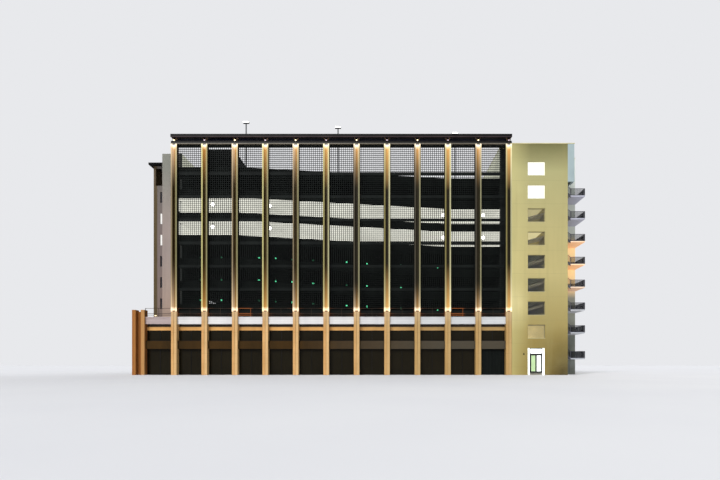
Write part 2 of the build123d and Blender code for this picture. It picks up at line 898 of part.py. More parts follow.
# Entrance doors
DOOR_X = (WINDOW_X0 + WINDOW_X1) / 2
DOOR_X0 = DOOR_X - DOOR_FRAME_W / 2
DOOR_X1 = DOOR_X + DOOR_FRAME_W / 2
DOOR_Y = WINDOW_INSET
LEAF_X0 = DOOR_X0 + DOOR_POST + DOOR_GAP
LEAF_X1 = DOOR_X1 - DOOR_POST - DOOR_GAP
LEAF_W = (LEAF_X1 - LEAF_X0 - DOOR_GAP) / 2
LEAF_Z0 = GROUND_T + DOOR_GAP
LEAF_Z1 = DOOR_LEAF_TOP - DOOR_GAP
HINGE_Y = DOOR_Y - HINGE_OUT
HINGE_LEFT_X = LEAF_X0 - DOOR_GAP / 2
HINGE_RIGHT_X = LEAF_X1 + DOOR_GAP / 2


def hinge_heights():
    """Lowest point of each leaf's hinge knuckles."""
    return [LEAF_Z0 + HINGE_UP, LEAF_Z1 - HINGE_UP - HINGE_H]


def strap(x, side, z):
    """A hinge strap from the knuckle at x onto a face, towards side."""
    y0 = HINGE_Y + HINGE_OUT - HINGE_STRAP_T
    near = min(x, x + side * HINGE_STRAP)
    return block(near, near + HINGE_STRAP, y0, HINGE_Y + HINGE_OUT, z, z + HINGE_H)


def knuckle(x, z):
    return Pos(x, HINGE_Y, z + HINGE_H / 2) * Cylinder(HINGE_R, HINGE_H)


def entrance_frame():
    y1 = DOOR_Y + DOOR_POST_D
    frame = block(DOOR_X0, DOOR_X1, DOOR_Y, y1, GROUND_T, DOOR_HEAD)
    top = DOOR_LEAF_TOP + DOOR_BAR_H
    inner0 = DOOR_X0 + DOOR_POST
    inner1 = DOOR_X1 - DOOR_POST
    frame -= block(inner0, inner1, DOOR_Y, y1, GROUND_T, DOOR_LEAF_TOP)
    frame -= block(inner0, inner1, DOOR_Y, y1, top, DOOR_HEAD - DOOR_POST)
    for x, side in ((HINGE_LEFT_X, -1), (HINGE_RIGHT_X, 1)):
        for z in hinge_heights():
            seat = z - HINGE_H - HINGE_GAP
            frame += knuckle(x, seat) + strap(x, side, seat)
    return [frame]


def entrance_side_panels():
    y0 = DOOR_Y + (DOOR_POST_D - GLASS_T) / 2
    left = block(WINDOW_X0, DOOR_X0, y0, y0 + GLASS_T, 0, DOOR_HEAD)
    right = block(DOOR_X1, WINDOW_X1, y0, y0 + GLASS_T, 0, DOOR_HEAD)
    inner0 = DOOR_X0 + DOOR_POST
    inner1 = DOOR_X1 - DOOR_POST
    top = block(inner0, inner1, y0, y0 + GLASS_T, DOOR_LEAF_TOP + DOOR_BAR_H, DOOR_HEAD - DOOR_POST)
    return [left, right, top]


def leaf_frame(x0, hinge_x, side):
    """A glazed leaf's frame with its hinge knuckles."""
    x1 = x0 + LEAF_W
    leaf = block(x0, x1, DOOR_Y, DOOR_Y + DOOR_T, LEAF_Z0, LEAF_Z1)
    leaf -= block(
        x0 + DOOR_STILE,
        x1 - DOOR_STILE,
        DOOR_Y,
        DOOR_Y + DOOR_T,
        LEAF_Z0 + DOOR_STILE * 2,
        LEAF_Z1 - DOOR_STILE,
    )
    for z in hinge_heights():
        leaf += knuckle(hinge_x, z) + strap(hinge_x, side, z)
    return leaf


def leaf_glass(x0):
    y0 = DOOR_Y + (DOOR_T - DOOR_GLASS_T) / 2
    return block(
        x0 + DOOR_STILE,
        x0 + LEAF_W - DOOR_STILE,
        y0,
        y0 + DOOR_GLASS_T,
        LEAF_Z0 + DOOR_STILE * 2,
        LEAF_Z1 - DOOR_STILE,
    )


def door_left():
    return [leaf_frame(LEAF_X0, HINGE_LEFT_X, 1)]


def door_right():
    return [leaf_frame(LEAF_X1 - LEAF_W, HINGE_RIGHT_X, -1)]


def door_left_glass():
    return [leaf_glass(LEAF_X0)]


def door_right_glass():
    return [leaf_glass(LEAF_X1 - LEAF_W)]


# Escape stair
FLIGHT_X0 = LANDING_X0 - FLIGHT_RUN


def stair_steps():
    """Each flight as (low level, high level, y0, climbs to the right)."""
    floors = [GROUND_T] + [right_level(k) for k in range(1, DECKS + 1)]
    flights = []
    for low, high in zip(floors[:-1], floors[1:]):
        middle = (low + high) / 2
        flights.append((low, middle, STAIR_MID_Y, True))
        flights.append((middle, high, STAIR_FRONT_Y, False))
    return flights


def stair_treads():
    treads = []
    going = FLIGHT_RUN / FLIGHT_TREADS
    for low, high, y0, rightward in stair_steps():
        rise = (high - low) / (FLIGHT_TREADS + 1)
        for n in range(FLIGHT_TREADS):
            z = low + (n + 1) * rise
            left = FLIGHT_X0 + n * going if rightward else LANDING_X0 - (n + 1) * going
            treads.append(
                block(
                    left,
                    left + going,
                    y0 + STRINGER_T,
                    y0 + FLIGHT_W - STRINGER_T,
                    z - TREAD_T,
                    z,
                )
            )
    return treads


def stair_stringers():
    plates = []
    for low, high, y0, rightward in stair_steps():
        first, last = (low, high) if rightward else (high, low)
        outline = [
            (FLIGHT_X0, first - STRINGER_H),
            (LANDING_X0, last - STRINGER_H),
            (LANDING_X0, last),
            (FLIGHT_X0, first),
        ]
        if first == GROUND_T:
            share = STRINGER_H / (last - first)
            outline = [
                (FLIGHT_X0, 0),
                (FLIGHT_X0 + FLIGHT_RUN * share, 0),
                (LANDING_X0, last - STRINGER_H),
                (LANDING_X0, last),
                (FLIGHT_X0, first),
            ]
        for y in (y0, y0 + FLIGHT_W - STRINGER_T):
            plates.append(along_y(outline, y, y + STRINGER_T))
    return plates


def stair_landings():
    landings = []
    floors = [right_level(k) for k in range(1, DECKS + 1)]
    lows = [GROUND_T] + floors[:-1]
    for low, high in zip(lows, floors):
        middle = (low + high) / 2
        landings.append(
            block(LANDING_X0, LANDING_X1, STAIR_FRONT_Y, STAIR_BACK_Y, middle - LANDING_T, middle)
        )
        landings.append(
            block(INNER_X1, FLIGHT_X0, STAIR_FRONT_Y, STAIR_BACK_Y, high - LANDING_T, high)
        )
    landings.append(block(INNER_X1, FLIGHT_X0, STAIR_FRONT_Y, STAIR_BACK_Y, 0, GROUND_T))
    return landings


def stair_guards():
    """Open railings round the outer edges of the half landings."""
    guards = []
    floors = [GROUND_T] + [right_level(k) for k in range(1, DECKS + 1)]
    for low, high in zip(floors[:-1], floors[1:]):
        z0 = (low + high) / 2
        z1 = z0 + GUARD_H
        ring = block(LANDING_X0, LANDING_X1, STAIR_FRONT_Y, STAIR_BACK_Y, z0, z1)
        ring -= block(
            LANDING_X0,
            LANDING_X1 - GUARD_BAR,
            STAIR_FRONT_Y + GUARD_BAR,
            STAIR_BACK_Y - GUARD_BAR,
            z0,
            z1,
        )
        clear = (MID_LANDING - (GUARD_BAYS + 1) * GUARD_BAR) / GUARD_BAYS
        low_z = z0 + GUARD_BAR * 2
        high_z = z1 - GUARD_BAR
        for n in range(GUARD_BAYS):
            left = LANDING_X0 + GUARD_BAR + n * (clear + GUARD_BAR)
            ring -= block(left, left + clear, STAIR_FRONT_Y, STAIR_BACK_Y, low_z, high_z)
        depth = STAIR_BACK_Y - STAIR_FRONT_Y
        clear = (depth - (GUARD_SIDE_BAYS + 1) * GUARD_BAR) / GUARD_SIDE_BAYS
        for n in range(GUARD_SIDE_BAYS):
            near = STAIR_FRONT_Y + GUARD_BAR + n * (clear + GUARD_BAR)
            ring -= block(LANDING_X1 - GUARD_BAR, LANDING_X1, near, near + clear, low_z, high_z)
        guards.append(ring)
    return guards


def flight_band(first, last, x0, x1, foot, head):
    """Outline between two lines parallel to a flight from first to last."""
    slope = (last - first) / FLIGHT_RUN
    z0 = first + slope * (x0 - FLIGHT_X0)
    z1 = first + slope * (x1 - FLIGHT_X0)
    return [(x0, z0 + foot), (x1, z1 + foot), (x1, z1 + head), (x0, z0 + head)]


def flight_guards():
    """A sloping railing on the open side of each flight."""
    guards = []
    clear = (FLIGHT_RUN - (FLIGHT_GUARD_BAYS + 1) * GUARD_BAR) / FLIGHT_GUARD_BAYS
    for low, high, y0, rightward in stair_steps():
        first, last = (low, high) if rightward else (high, low)
        outline = flight_band(first, last, FLIGHT_X0, LANDING_X0, 0, GUARD_H)
        guard = along_y(outline, y0, y0 + GUARD_BAR)
        for n in range(FLIGHT_GUARD_BAYS):
            left = FLIGHT_X0 + GUARD_BAR + n * (clear + GUARD_BAR)
            foot, head = 2 * GUARD_BAR, GUARD_H - GUARD_BAR
            hole = flight_band(first, last, left, left + clear, foot, head)
            guard -= along_y(hole, y0, y0 + GUARD_BAR)
        guards.append(guard)
    return guards


def stair_back_wall():
    return [block(INNER_X1, LANDING_X1, STAIR_BACK_Y, STAIR_BACK_Y + STAIR_WALL, 0, TOWER_H)]


def stair_head():
    """Closed top storey over the stair, beside the tower front."""
    foot = TOP_RIGHT - LANDING_T
    front = block(TOWER_X1, LANDING_X0, 0, TOWER_WALL, foot, TOWER_H)
    side = block(
        LANDING_X0 - TOWER_WALL, LANDING_X0, TOWER_WALL, STAIR_BACK_Y, foot, TOWER_H
    )
    side_cut = block(
        LANDING_X0 - TOWER_WALL, LANDING_X0, STAIR_FRONT_Y, STAIR_BACK_Y, foot, TOP_RIGHT
    )
    roof = TOWER_H - TOWER_PARAPET
    lid = block(INNER_X1, LANDING_X0 - TOWER_WALL, TOWER_WALL, STAIR_BACK_Y, roof - SLAB_T, roof)
    return [front + side - side_cut + lid]


def tower_coping():
    """A flat coping on the walls of the tower and stair head."""
    out = COPING_OUT
    z0, z1 = TOWER_H, TOWER_H + COPING_H
    back_y = TOWER_D - TOWER_WALL
    jog_x = TOWER_X0 + TOWER_WALL
    return_y = DECK_SETBACK + TOWER_WALL
    right_x = INNER_X1 - TOWER_WALL
    head_y = STAIR_BACK_Y + STAIR_WALL
    runs = [
        (TOWER_X0, LANDING_X0 + out, -out, TOWER_WALL + out),
        (TOWER_X0, jog_x + out, TOWER_WALL, return_y),
        (DECK_X1 - out, jog_x + out, DECK_SETBACK - out, return_y + out),
        (DECK_X1 - out, DECK_X1 + TOWER_WALL + out, return_y, TOWER_D),
        (DECK_X1 - out, INNER_X1 + out, back_y - out, TOWER_D + out),
        (right_x - out, INNER_X1 + out, TOWER_WALL, TOWER_D),
        (LANDING_X0 - TOWER_WALL - out, LANDING_X0 + out, TOWER_WALL, STAIR_BACK_Y),
        (INNER_X1, LANDING_X1, STAIR_BACK_Y - out, head_y + out),
    ]
    coping = block(*runs[0], z0, z1)
    for run in runs[1:]:
        coping += block(*run, z0, z1)
    return [coping]


# Roof pieces
def mast_places():
    """Each lamp mast as x and the deck level under it."""
    xs = [FIRST_FIN_X + place for place in MAST_PLACES]
    return [(x, front_level(DECKS, x)) for x in xs]


def lamp_masts():
    masts = []
    for x, z in mast_places():
        left, right = x - MAST_FOOT / 2, x + MAST_FOOT / 2
        seat = z + MAST_FOOT_T
        outline = [
            (left, front_level(DECKS, left)),
            (right, front_level(DECKS, right)),
            (right, seat),
            (left, seat),
        ]
        foot = along_y(outline, MAST_Y - MAST_FOOT / 2, MAST_Y + MAST_FOOT / 2)
        head = z + MAST_H
        pole = Pos(x, MAST_Y, (seat + head) / 2) * Cylinder(MAST_R, head - seat)
        y0 = MAST_Y - LAMP_D / 2
        lamp = block(x - LAMP_W / 2, x + LAMP_W / 2, y0, y0 + LAMP_D, head, head + LAMP_H)
        masts.append(foot + pole + lamp)
    return masts


def plant_room():
    x0 = FIRST_FIN_X + PLANT_X - PLANT_W / 2
    base = TOP_LEFT
    room = block(x0, x0 + PLANT_W, PLANT_Y, PLANT_Y + PLANT_D, base, base + PLANT_H)
    cap = block(
        x0 - PLANT_ROOF_OUT,
        x0 + PLANT_W + PLANT_ROOF_OUT,
        PLANT_Y - PLANT_ROOF_OUT,
        PLANT_Y + PLANT_D + PLANT_ROOF_OUT,
        base + PLANT_H,
        base + PLANT_H + PLANT_ROOF_T,
    )
    return [room + cap]


PIECES = [
    ground_slab,
    left_end_decks,
    right_end_decks,
    front_ramp_decks,
    rear_ramp_decks,
    front_columns,
    spine_columns,
    rear_columns,
    front_parapets,
    rear_parapets,
    end_parapets,
    roof_edge_parapets,
    ground_walls,
    front_fins,
    fin_brackets,
    front_pilasters,
    screen_frames,
    canopy_bands,
    bulkhead_beams,
    sign_bands,
    shopfront_frames,
    shopfront_glass,
    louvre_panel,
    terrace_railings,
    cap_rail,
    cap_beam,
    cap_arms,
    cap_front,
    left_pylon,
    podium_terrace,
    podium_side_wall,
    core_side_walls,
    core_cross_walls,
    core_slot_wall,
    core_slot_glass,
    core_floors,
    core_roofs,
    tower_front_walls,
    tower_spandrels,
    tower_side_walls,
    tower_return_wall,
    tower_floors,
    tower_window_frames,
    tower_window_glass,
    entrance_frame,
    entrance_side_panels,
    door_left,
    door_right,
    door_left_glass,
    door_right_glass,
    stair_treads,
    stair_stringers,
    stair_landings,
    stair_guards,
    flight_guards,
    stair_back_wall,
    stair_head,
    tower_coping,
    lamp_masts,
    plant_room,
]


def save(make):
    """Writes one named piece, moved to the final frame."""
    solids = []
    for made in make():
        placed = Pos(-CENTRE_X, -CENTRE_Y, 0) * made
        solids += placed.solids()
    shape = solids[0] if len(solids) == 1 else Compound(children=solids)
    export_step(shape, f"parts/{make.__name__}.step")


os.makedirs("parts", exist_ok=True)
for piece in PIECES:
    save(piece)
hinges = [HINGE_LEFT_X - CENTRE_X, HINGE_RIGHT_X - CENTRE_X, HINGE_Y - CENTRE_Y]
print("hinge axes x, x and y:", [round(v / 1000, 5) for v in hinges])
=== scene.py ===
import json
import math

import bpy
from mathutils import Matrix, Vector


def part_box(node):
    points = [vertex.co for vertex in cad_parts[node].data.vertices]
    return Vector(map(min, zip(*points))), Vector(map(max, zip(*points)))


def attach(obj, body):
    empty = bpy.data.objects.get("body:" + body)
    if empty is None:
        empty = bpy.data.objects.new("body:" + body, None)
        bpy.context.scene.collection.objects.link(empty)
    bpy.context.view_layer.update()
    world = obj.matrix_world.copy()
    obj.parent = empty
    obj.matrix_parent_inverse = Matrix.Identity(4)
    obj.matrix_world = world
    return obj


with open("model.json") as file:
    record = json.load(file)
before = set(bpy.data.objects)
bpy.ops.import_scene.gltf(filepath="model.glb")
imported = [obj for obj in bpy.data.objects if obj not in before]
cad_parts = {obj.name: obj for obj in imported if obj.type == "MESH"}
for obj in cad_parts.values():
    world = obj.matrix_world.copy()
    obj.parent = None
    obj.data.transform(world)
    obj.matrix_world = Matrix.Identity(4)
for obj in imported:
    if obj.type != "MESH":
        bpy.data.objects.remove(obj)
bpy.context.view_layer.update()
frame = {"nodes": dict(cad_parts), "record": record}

# Places are given in metres in a drawing frame: X from the pylon's left face, Y from the fin fronts
X0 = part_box("left_pylon")[0].x
Y0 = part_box("front_fins")[0].y

# Sizes that the looks share with the building
FIRST_FIN = 2.870
BAY = 2.095
BAYS = 11
FIN_W = 0.410
FIN_FLANGE = 0.095
FIN_SIDE = 0.020
FIN_FACE = 0.010
PYLON_W = 0.845
UPSTAND_Y = 0.345
FIN_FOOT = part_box("front_fins")[0].z
FIN_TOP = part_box("front_fins")[1].z
CANOPY_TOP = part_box("canopy_bands")[1].z
CANOPY_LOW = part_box("canopy_bands")[0].z
GROUND_SLAB = 0.150
GROUND_STOREY = 2.175
STOREY = 1.600
RISE = 0.800
DECKS = 8
SLAB = 0.125
PARAPET = 0.425
MODULE = 8.125
SPINE_W = 0.250
DECK_Y0 = 0.600
DECK_X0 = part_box("left_end_decks")[0].x - X0
DECK_X1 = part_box("right_end_decks")[1].x - X0
RAMP_X0 = FIRST_FIN + 2 * BAY
RAMP_X1 = FIRST_FIN + (BAYS - 2) * BAY
TOWER_X = 26.1
WINDOW_X0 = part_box("tower_window_frames")[0].x - X0
WINDOW_X1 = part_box("tower_window_frames")[1].x - X0
WINDOW_H = 0.950
WINDOW_UP = 0.335
UNDER_WINDOW = 0.2
FLIGHT_X0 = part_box("stair_stringers")[0].x - X0
STAIR_FRONT_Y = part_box("stair_stringers")[0].y - Y0
STAIR_MID_Y = STAIR_FRONT_Y + 0.775
MAST_Y = 0.9
cap_low, cap_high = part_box("cap_front")

# Decks with lit lamps under them, tower windows lit fully or softly, and bays whose rail glows orange with
# painted light
LIT_DECKS = (6, 7)
LIT_WINDOWS = (7, 8)
SOFT_WINDOWS = (5, 6)
ORANGE_GLOW_BAYS = (2, 9)

# Wire mesh
MESH_STEP = 0.137
MESH_BAR = 0.034
MESH_FLAT = 0.012
MESH_BACK = 0.196
STILE = 0.045

# Painted parking bays
PARKING_W = 1.25
PARKING_D = 2.4
LINE_W = 0.05

# Joints and flutes as step, width and first place, half the seam of a pilaster, and the height of the gilt
# edge of painted light at the rail's foot
RENDER_JOINT = (STOREY, 0.014, GROUND_STOREY)
STONE_JOINT = (0.72, 0.012, 0.05)
FLUTES = (0.124, 0.016, CANOPY_LOW + 0.06)
SEAM_HALF = 0.014
LIT_EDGE = 0.045

# Light on the fins: how far it reaches up from the foot, on even fins at the left and right and on
# odd ones, and down from the head, its powers of fall-off and share in the channel from the first
# to the odd ones at the right, the bright spots at both ends, and where the channel's rim starts
EVEN_REACH = (4.0, 2.3)
ODD_REACH = 3.4
HEAD_REACH = 3.1
FOOT_POWER = (2.0, 1.2)
HEAD_POWER = (1.6, 0.9)
CHANNEL_SHARE = (0.75, 1.0)
HEAD_SPOT = (0.3, 0.05)
FOOT_SPOT = (0.02, 0.26)
RIM_FROM = 0.055

# How strongly surfaces shine by themselves
DECK_GLOW = 0.96
WALL_GLOW = 0.9
PARAPET_GLOW = 0.72
FIN_GLOW = 0.72
STONE_GLOW = 0.4
RAIL_GLOW = 0.5
ROOM_GLOW = 0.95
STAIR_GLOW = 0.55

# Thresholds: a face's direction, a face's plane, and the soft edge of a band
FACING = 0.5
PLANE = 0.003
EDGE = 0.005


def rgb(red, green, blue):
    """A screen colour from 0 to 255 as a linear one."""
    parts = [value / 255 for value in (red, green, blue)]
    return tuple(v / 12.92 if v <= 0.04045 else ((v + 0.055) / 1.055) ** 2.4 for v in parts) + (1.0,)


def deeper(colour):
    """A colour at four fifths of its strength."""
    return tuple(value * 0.8 for value in colour[:3]) + (1.0,)


BLACK = (0.0, 0.0, 0.0, 1.0)
DEEP_SHADE = rgb(20, 24, 22)
# A painted shade for walls and columns out of the light, lighter than the deep one
FAINT_SHADE = rgb(36, 40, 37)
LIT_CONCRETE = rgb(128, 128, 120)
TUBE_LIGHT = rgb(252, 252, 240)


def right_level(deck):
    return GROUND_STOREY + (deck - 1) * STOREY


def front_level(deck, x):
    share = min(1.0, max(0.0, (RAMP_X1 - x) / (RAMP_X1 - RAMP_X0)))
    return right_level(deck) + RISE * share


def fin_x(number):
    return FIRST_FIN + number * BAY


# Materials
class Nodes:
    """A node tree, built up a node at a time from sockets and values."""

    def __init__(self, tree):
        self.tree = tree

    def add(self, kind, *inputs, **settings):
        node = self.tree.nodes.new(kind)
        for key, value in settings.items():
            setattr(node, key, value)
        for socket, value in zip(node.inputs, inputs):
            self.feed(socket, value)
        return node

    def feed(self, socket, value):
        if isinstance(value, bpy.types.NodeSocket):
            self.tree.links.new(value, socket)
        else:
            socket.default_value = value

    def math(self, operation, first, second=0.0):
        return self.add("ShaderNodeMath", first, second, operation=operation).outputs[0]

    def times(self, first, second):
        return self.math("MULTIPLY", first, second)

    def minus(self, first, second):
        return self.math("SUBTRACT", first, second)

    def most(self, first, second):
        return self.math("MAXIMUM", first, second)

    def over(self, value, low):
        """1 above low, 0 elsewhere."""
        return self.math("GREATER_THAN", value, low)

    def under(self, value, high):
        """1 below high, 0 elsewhere."""
        return self.math("LESS_THAN", value, high)

    def flip(self, share):
        return self.math("SUBTRACT", 1.0, share)


class Paint(Nodes):
    """A node material on one surface shader."""

    def __init__(self, name, rough, metal=0.0, specular=0.5):
        self.material = bpy.data.materials.new(name)
        self.material.use_nodes = True
        super().__init__(self.material.node_tree)
        self.shader = self.tree.nodes["Principled BSDF"]
        self.shader.inputs["Roughness"].default_value = rough
        self.shader.inputs["Metallic"].default_value = metal
        self.shader.inputs["Specular IOR Level"].default_value = specular
        self.place = self.add("ShaderNodeTexCoord").outputs["Object"]
        self.x, self.y, self.z = self.add("ShaderNodeSeparateXYZ", self.place).outputs
        normal = self.add("ShaderNodeNewGeometry").outputs["Normal"]
        self.facing = self.add("ShaderNodeSeparateXYZ", normal).outputs

    def faces_front(self):
        return self.under(self.facing[1], -FACING)

    def faces_back(self):
        return self.over(self.facing[1], FACING)

    def faces_up(self):
        return self.over(self.facing[2], FACING)

    def faces_down(self):
        return self.under(self.facing[2], -FACING)

    def span(self, value, low, high, start=0.0, end=1.0):
        """A clamped ramp from start at low to end at high."""
        return self.add("ShaderNodeMapRange", value, low, high, start, end).outputs[0]

    def across(self, low, high, start=0.0, end=1.0):
        """A ramp along X, in the drawing frame."""
        return self.span(self.x, X0 + low, X0 + high, start, end)

    def along(self, first, last, start=0.0, end=1.0):
        """A ramp along X between two fins."""
        return self.across(fin_x(first), fin_x(last), start, end)

    def between(self, value, low, high, soft=0.01):
        """1 between low and high, 0 outside."""
        up = self.span(value, low - soft, low + soft)
        down = self.span(value, high - soft, high + soft, 1.0, 0.0)
        return self.times(up, down)

    def noise(self, scale, detail=4.0, stretch=(1.0, 1.0, 1.0)):
        place = self.add("ShaderNodeVectorMath", self.place, stretch, operation="MULTIPLY").outputs[0]
        node = self.add("ShaderNodeTexNoise")
        self.feed(node.inputs["Vector"], place)
        node.inputs["Scale"].default_value = scale
        node.inputs["Detail"].default_value = detail
        return node.outputs[0]

    def patches(self, scale, detail, stretch=1.0, low=0.35, high=0.65, start=0.0, end=1.0):
        """Noise as a share from start to end, drawn out along Z where stretch is under 1."""
        return self.span(self.noise(scale, detail, (1.0, 1.0, stretch)), low, high, start, end)

    def blend(self, share, first, second):
        node = self.add("ShaderNodeMix", data_type="RGBA")
        self.feed(node.inputs[0], share)
        self.feed(node.inputs[6], first)
        self.feed(node.inputs[7], second)
        return node.outputs[2]

    def plus(self, first, second):
        """The sum of two colours."""
        node = self.add("ShaderNodeMix", data_type="RGBA", blend_type="ADD")
        node.inputs[0].default_value = 1.0
        self.feed(node.inputs[6], first)
        self.feed(node.inputs[7], second)
        return node.outputs[2]

    def rising(self, tone, *steps):
        """A tone that turns into others on the way up, each given as (low, high, tone)."""
        for low, high, other in steps:
            tone = self.blend(self.span(self.z, low, high), tone, other)
        return tone

    def lines(self, value, step, width, offset=0.0):
        """1 on thin lines at every step along a coordinate."""
        moved = self.math("ADD", value, 1000.0 * step - offset + width / 2)
        return self.under(self.math("MODULO", moved, step), width)

    def colour(self, value):
        self.feed(self.shader.inputs["Base Color"], value)

    def glow(self, tone, strength, share=None):
        """Light of a tone, all over or only as far as the share says."""
        light = tone if share is None else self.blend(share, BLACK, tone)
        self.feed(self.shader.inputs["Emission Color"], light)
        self.shader.inputs["Emission Strength"].default_value = strength

    def bump(self, height, strength, distance=0.01):
        node = self.add("ShaderNodeBump")
        node.inputs["Strength"].default_value = strength
        node.inputs["Distance"].default_value = distance
        self.feed(node.inputs["Height"], height)
        self.feed(self.shader.inputs["Normal"], node.outputs["Normal"])


def mineral_base(name, grain=40.0, specular=0.25):
    """Render, stone or concrete before its colour: matt, with a fine grain."""
    paint = Paint(name, 0.85, specular=specular)
    paint.bump(paint.noise(grain, 6.0), 0.25, 0.006)
    return paint


def mineral(name, pale, dark, patch=0.5, grain=40.0, specular=0.25):
    """Render, stone or concrete with patches, rain streaks and specks."""
    paint = mineral_base(name, grain, specular)
    colour = paint.blend(paint.patches(patch, 5.0), pale, dark)
    colour = paint.blend(paint.patches(2.2, 3.0, 0.08, 0.5, 0.75, 0.0, 0.25), colour, dark)
    colour = paint.blend(paint.patches(grain, 2.0, 1.0, 0.45, 0.8, 0.0, 0.35), colour, dark)
    paint.colour(colour)
    return paint, colour


def metal_base(name, rough=0.4, shine=0.6, specular=0.4):
    """Painted or anodised metal before its colour, with a drawn grain."""
    paint = Paint(name, rough, metal=shine, specular=specular)
    marks = paint.noise(60.0, 3.0, (1.0, 1.0, 0.05))
    paint.feed(paint.shader.inputs["Roughness"], paint.span(marks, 0.3, 0.7, rough - 0.08, rough + 0.08))
    paint.bump(marks, 0.05, 0.002)
    return paint


def metal(name, pale, dark, **settings):
    """Painted or anodised metal with slight unevenness."""
    paint = metal_base(name, **settings)
    colour = paint.blend(paint.patches(1.3, 4.0, 0.15), pale, dark)
    paint.colour(colour)
    return paint, colour


def plain_mineral(name, pale, dark, **settings):
    return mineral(name, pale, dark, **settings)[0].material


def plain_metal(name, pale, dark, **settings):
    return metal(name, pale, dark, **settings)[0].material


def glass(name, tint, clear, rough=0.04, specular=0.5):
    """Glass with a faint ripple; clear says how much light goes through."""
    paint = Paint(name, rough, specular=specular)
    paint.colour(paint.blend(paint.patches(0.8, 2.0, 1.0, 0.3, 0.7), tint, deeper(tint)))
    paint.shader.inputs["Transmission Weight"].default_value = clear
    paint.shader.inputs["IOR"].default_value = 1.45
    paint.bump(paint.noise(0.9, 1.0), 0.03, 0.01)
    return paint


def glowing_glass(name, tint, inner, strength):
    """Glass in front of a bright room."""
    paint = glass(name, tint, clear=0.55)
    paint.glow(inner, strength, paint.patches(1.5, 2.0, 1.0, 0.3, 0.7, 0.8, 1.0))
    return paint.material


def lamp_skin(name, colour, strength, lens=40.0):
    """A lit lens: ribbed, and a little uneven in brightness."""
    paint = Paint(name, 0.3)
    share = paint.patches(lens, 1.0, 1.0, 0.3, 0.7, 0.85, 1.0)
    paint.colour(paint.blend(share, rgb(120, 120, 120), colour))
    paint.glow(colour, strength, share)
    return paint.material


def storey_level(paint, rear=False):
    """Height with the slope of the decks taken out, so that a storey is one level band."""
    left, right = (0.0, 1.0) if rear else (1.0, 0.0)
    level = paint.minus(paint.z, paint.times(paint.across(RAMP_X0, RAMP_X1, left, right), RISE))
    return paint.minus(level, RISE) if rear else level


def lit_share(paint, rear=False):
    """1 in the storeys whose lamps are on."""
    low = right_level(LIT_DECKS[0] - 1) - 0.01
    top = right_level(LIT_DECKS[0] if rear else LIT_DECKS[-1]) - 0.02
    return paint.between(storey_level(paint, rear), low, top, EDGE)


def open_share(paint):
    """1 between the parapet and the soffit of each storey at the front."""
    above = paint.minus(storey_level(paint), GROUND_STOREY)
    return paint.between(paint.math("MODULO", above, STOREY), PARAPET, STOREY - SLAB, EDGE)


def light_storeys(paint, colour, shade, unlit, rear=False):
    """Keeps the colour on the roof, darkens it in the storeys, and lights the ones with lamps on."""
    top = right_level(DECKS - 1 if rear else DECKS)
    open_side = paint.flip(unlit)
    roof = paint.times(paint.over(storey_level(paint, rear), top - PLANE), open_side)
    lit = paint.times(lit_share(paint, rear), open_side)
    paint.colour(paint.blend(roof, paint.blend(lit, shade, LIT_CONCRETE), colour))
    pools = paint.patches(0.5, 2.0, 1.0, 0.3, 0.7, 0.8, 1.0)
    dim_floor = paint.span(paint.facing[2], 0.4, 0.6, 1.0, 0.22)
    paint.glow(TUBE_LIGHT, DECK_GLOW, paint.times(paint.times(lit, pools), dim_floor))


def deck_concrete(name, rear=False):
    """Deck slabs: floated tops with bay lines; in the storeys their soffits, tops and front edges are in
    painted shade, and in the storeys with lamps on they take painted light.
    """
    paint, colour = mineral(name, rgb(176, 173, 166), rgb(140, 137, 131), patch=0.8, specular=0.05)
    lines = paint.lines(paint.x, PARKING_W, LINE_W, X0)
    module = paint.math("MODULO", paint.minus(paint.y, Y0 + DECK_Y0), MODULE + SPINE_W)
    from_aisle = paint.math("ABSOLUTE", paint.minus(module, MODULE / 2))
    bay = paint.over(from_aisle, MODULE / 2 - PARKING_D)
    top = paint.faces_up()
    line = paint.times(paint.times(lines, bay), top)
    colour = paint.blend(line, colour, rgb(226, 225, 218))
    shade = paint.blend(top, rgb(16, 20, 18), rgb(58, 60, 56))
    shade = paint.blend(line, shade, rgb(96, 98, 92))
    light_storeys(paint, colour, shade, paint.faces_front(), rear)
    return paint.material


def parapet_concrete():
    """Parapets: near black in painted shade on the front and in the storeys, concrete grey on their rear and
    end faces, and lit with painted light inside where the lamps are on.
    """
    # The near black is painted shade; the grey on the rear and end faces is the concrete's own colour.
    paint, colour = mineral("parapet_shade", rgb(24, 28, 26), rgb(16, 19, 18), patch=0.9, specular=0.05)
    front_row = paint.under(paint.y, Y0 + DECK_Y0 + 0.2)
    lit = paint.times(paint.times(paint.faces_back(), front_row), lit_share(paint))
    rear = paint.over(paint.y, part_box("rear_parapets")[1].y - PLANE)
    left = paint.under(paint.x, X0 + DECK_X0 + PLANE)
    right = paint.over(paint.x, X0 + DECK_X1 - PLANE)
    outer = paint.times(paint.most(rear, paint.most(left, right)), paint.over(paint.facing[1], -FACING))
    pale = paint.blend(paint.patches(0.7, 4.0), rgb(118, 117, 110), rgb(96, 95, 90))
    paint.colour(paint.blend(lit, paint.blend(outer, colour, pale), LIT_CONCRETE))
    paint.glow(TUBE_LIGHT, PARAPET_GLOW, lit)
    return paint.material


def storey_concrete(name, pale, dark, shade):
    """Columns in the storeys, in painted shade outside the lit ones, which take painted light."""
    paint, colour = mineral(name, pale, dark, specular=0.05)
    light_storeys(paint, colour, shade, paint.flip(open_share(paint)))
    return paint.material


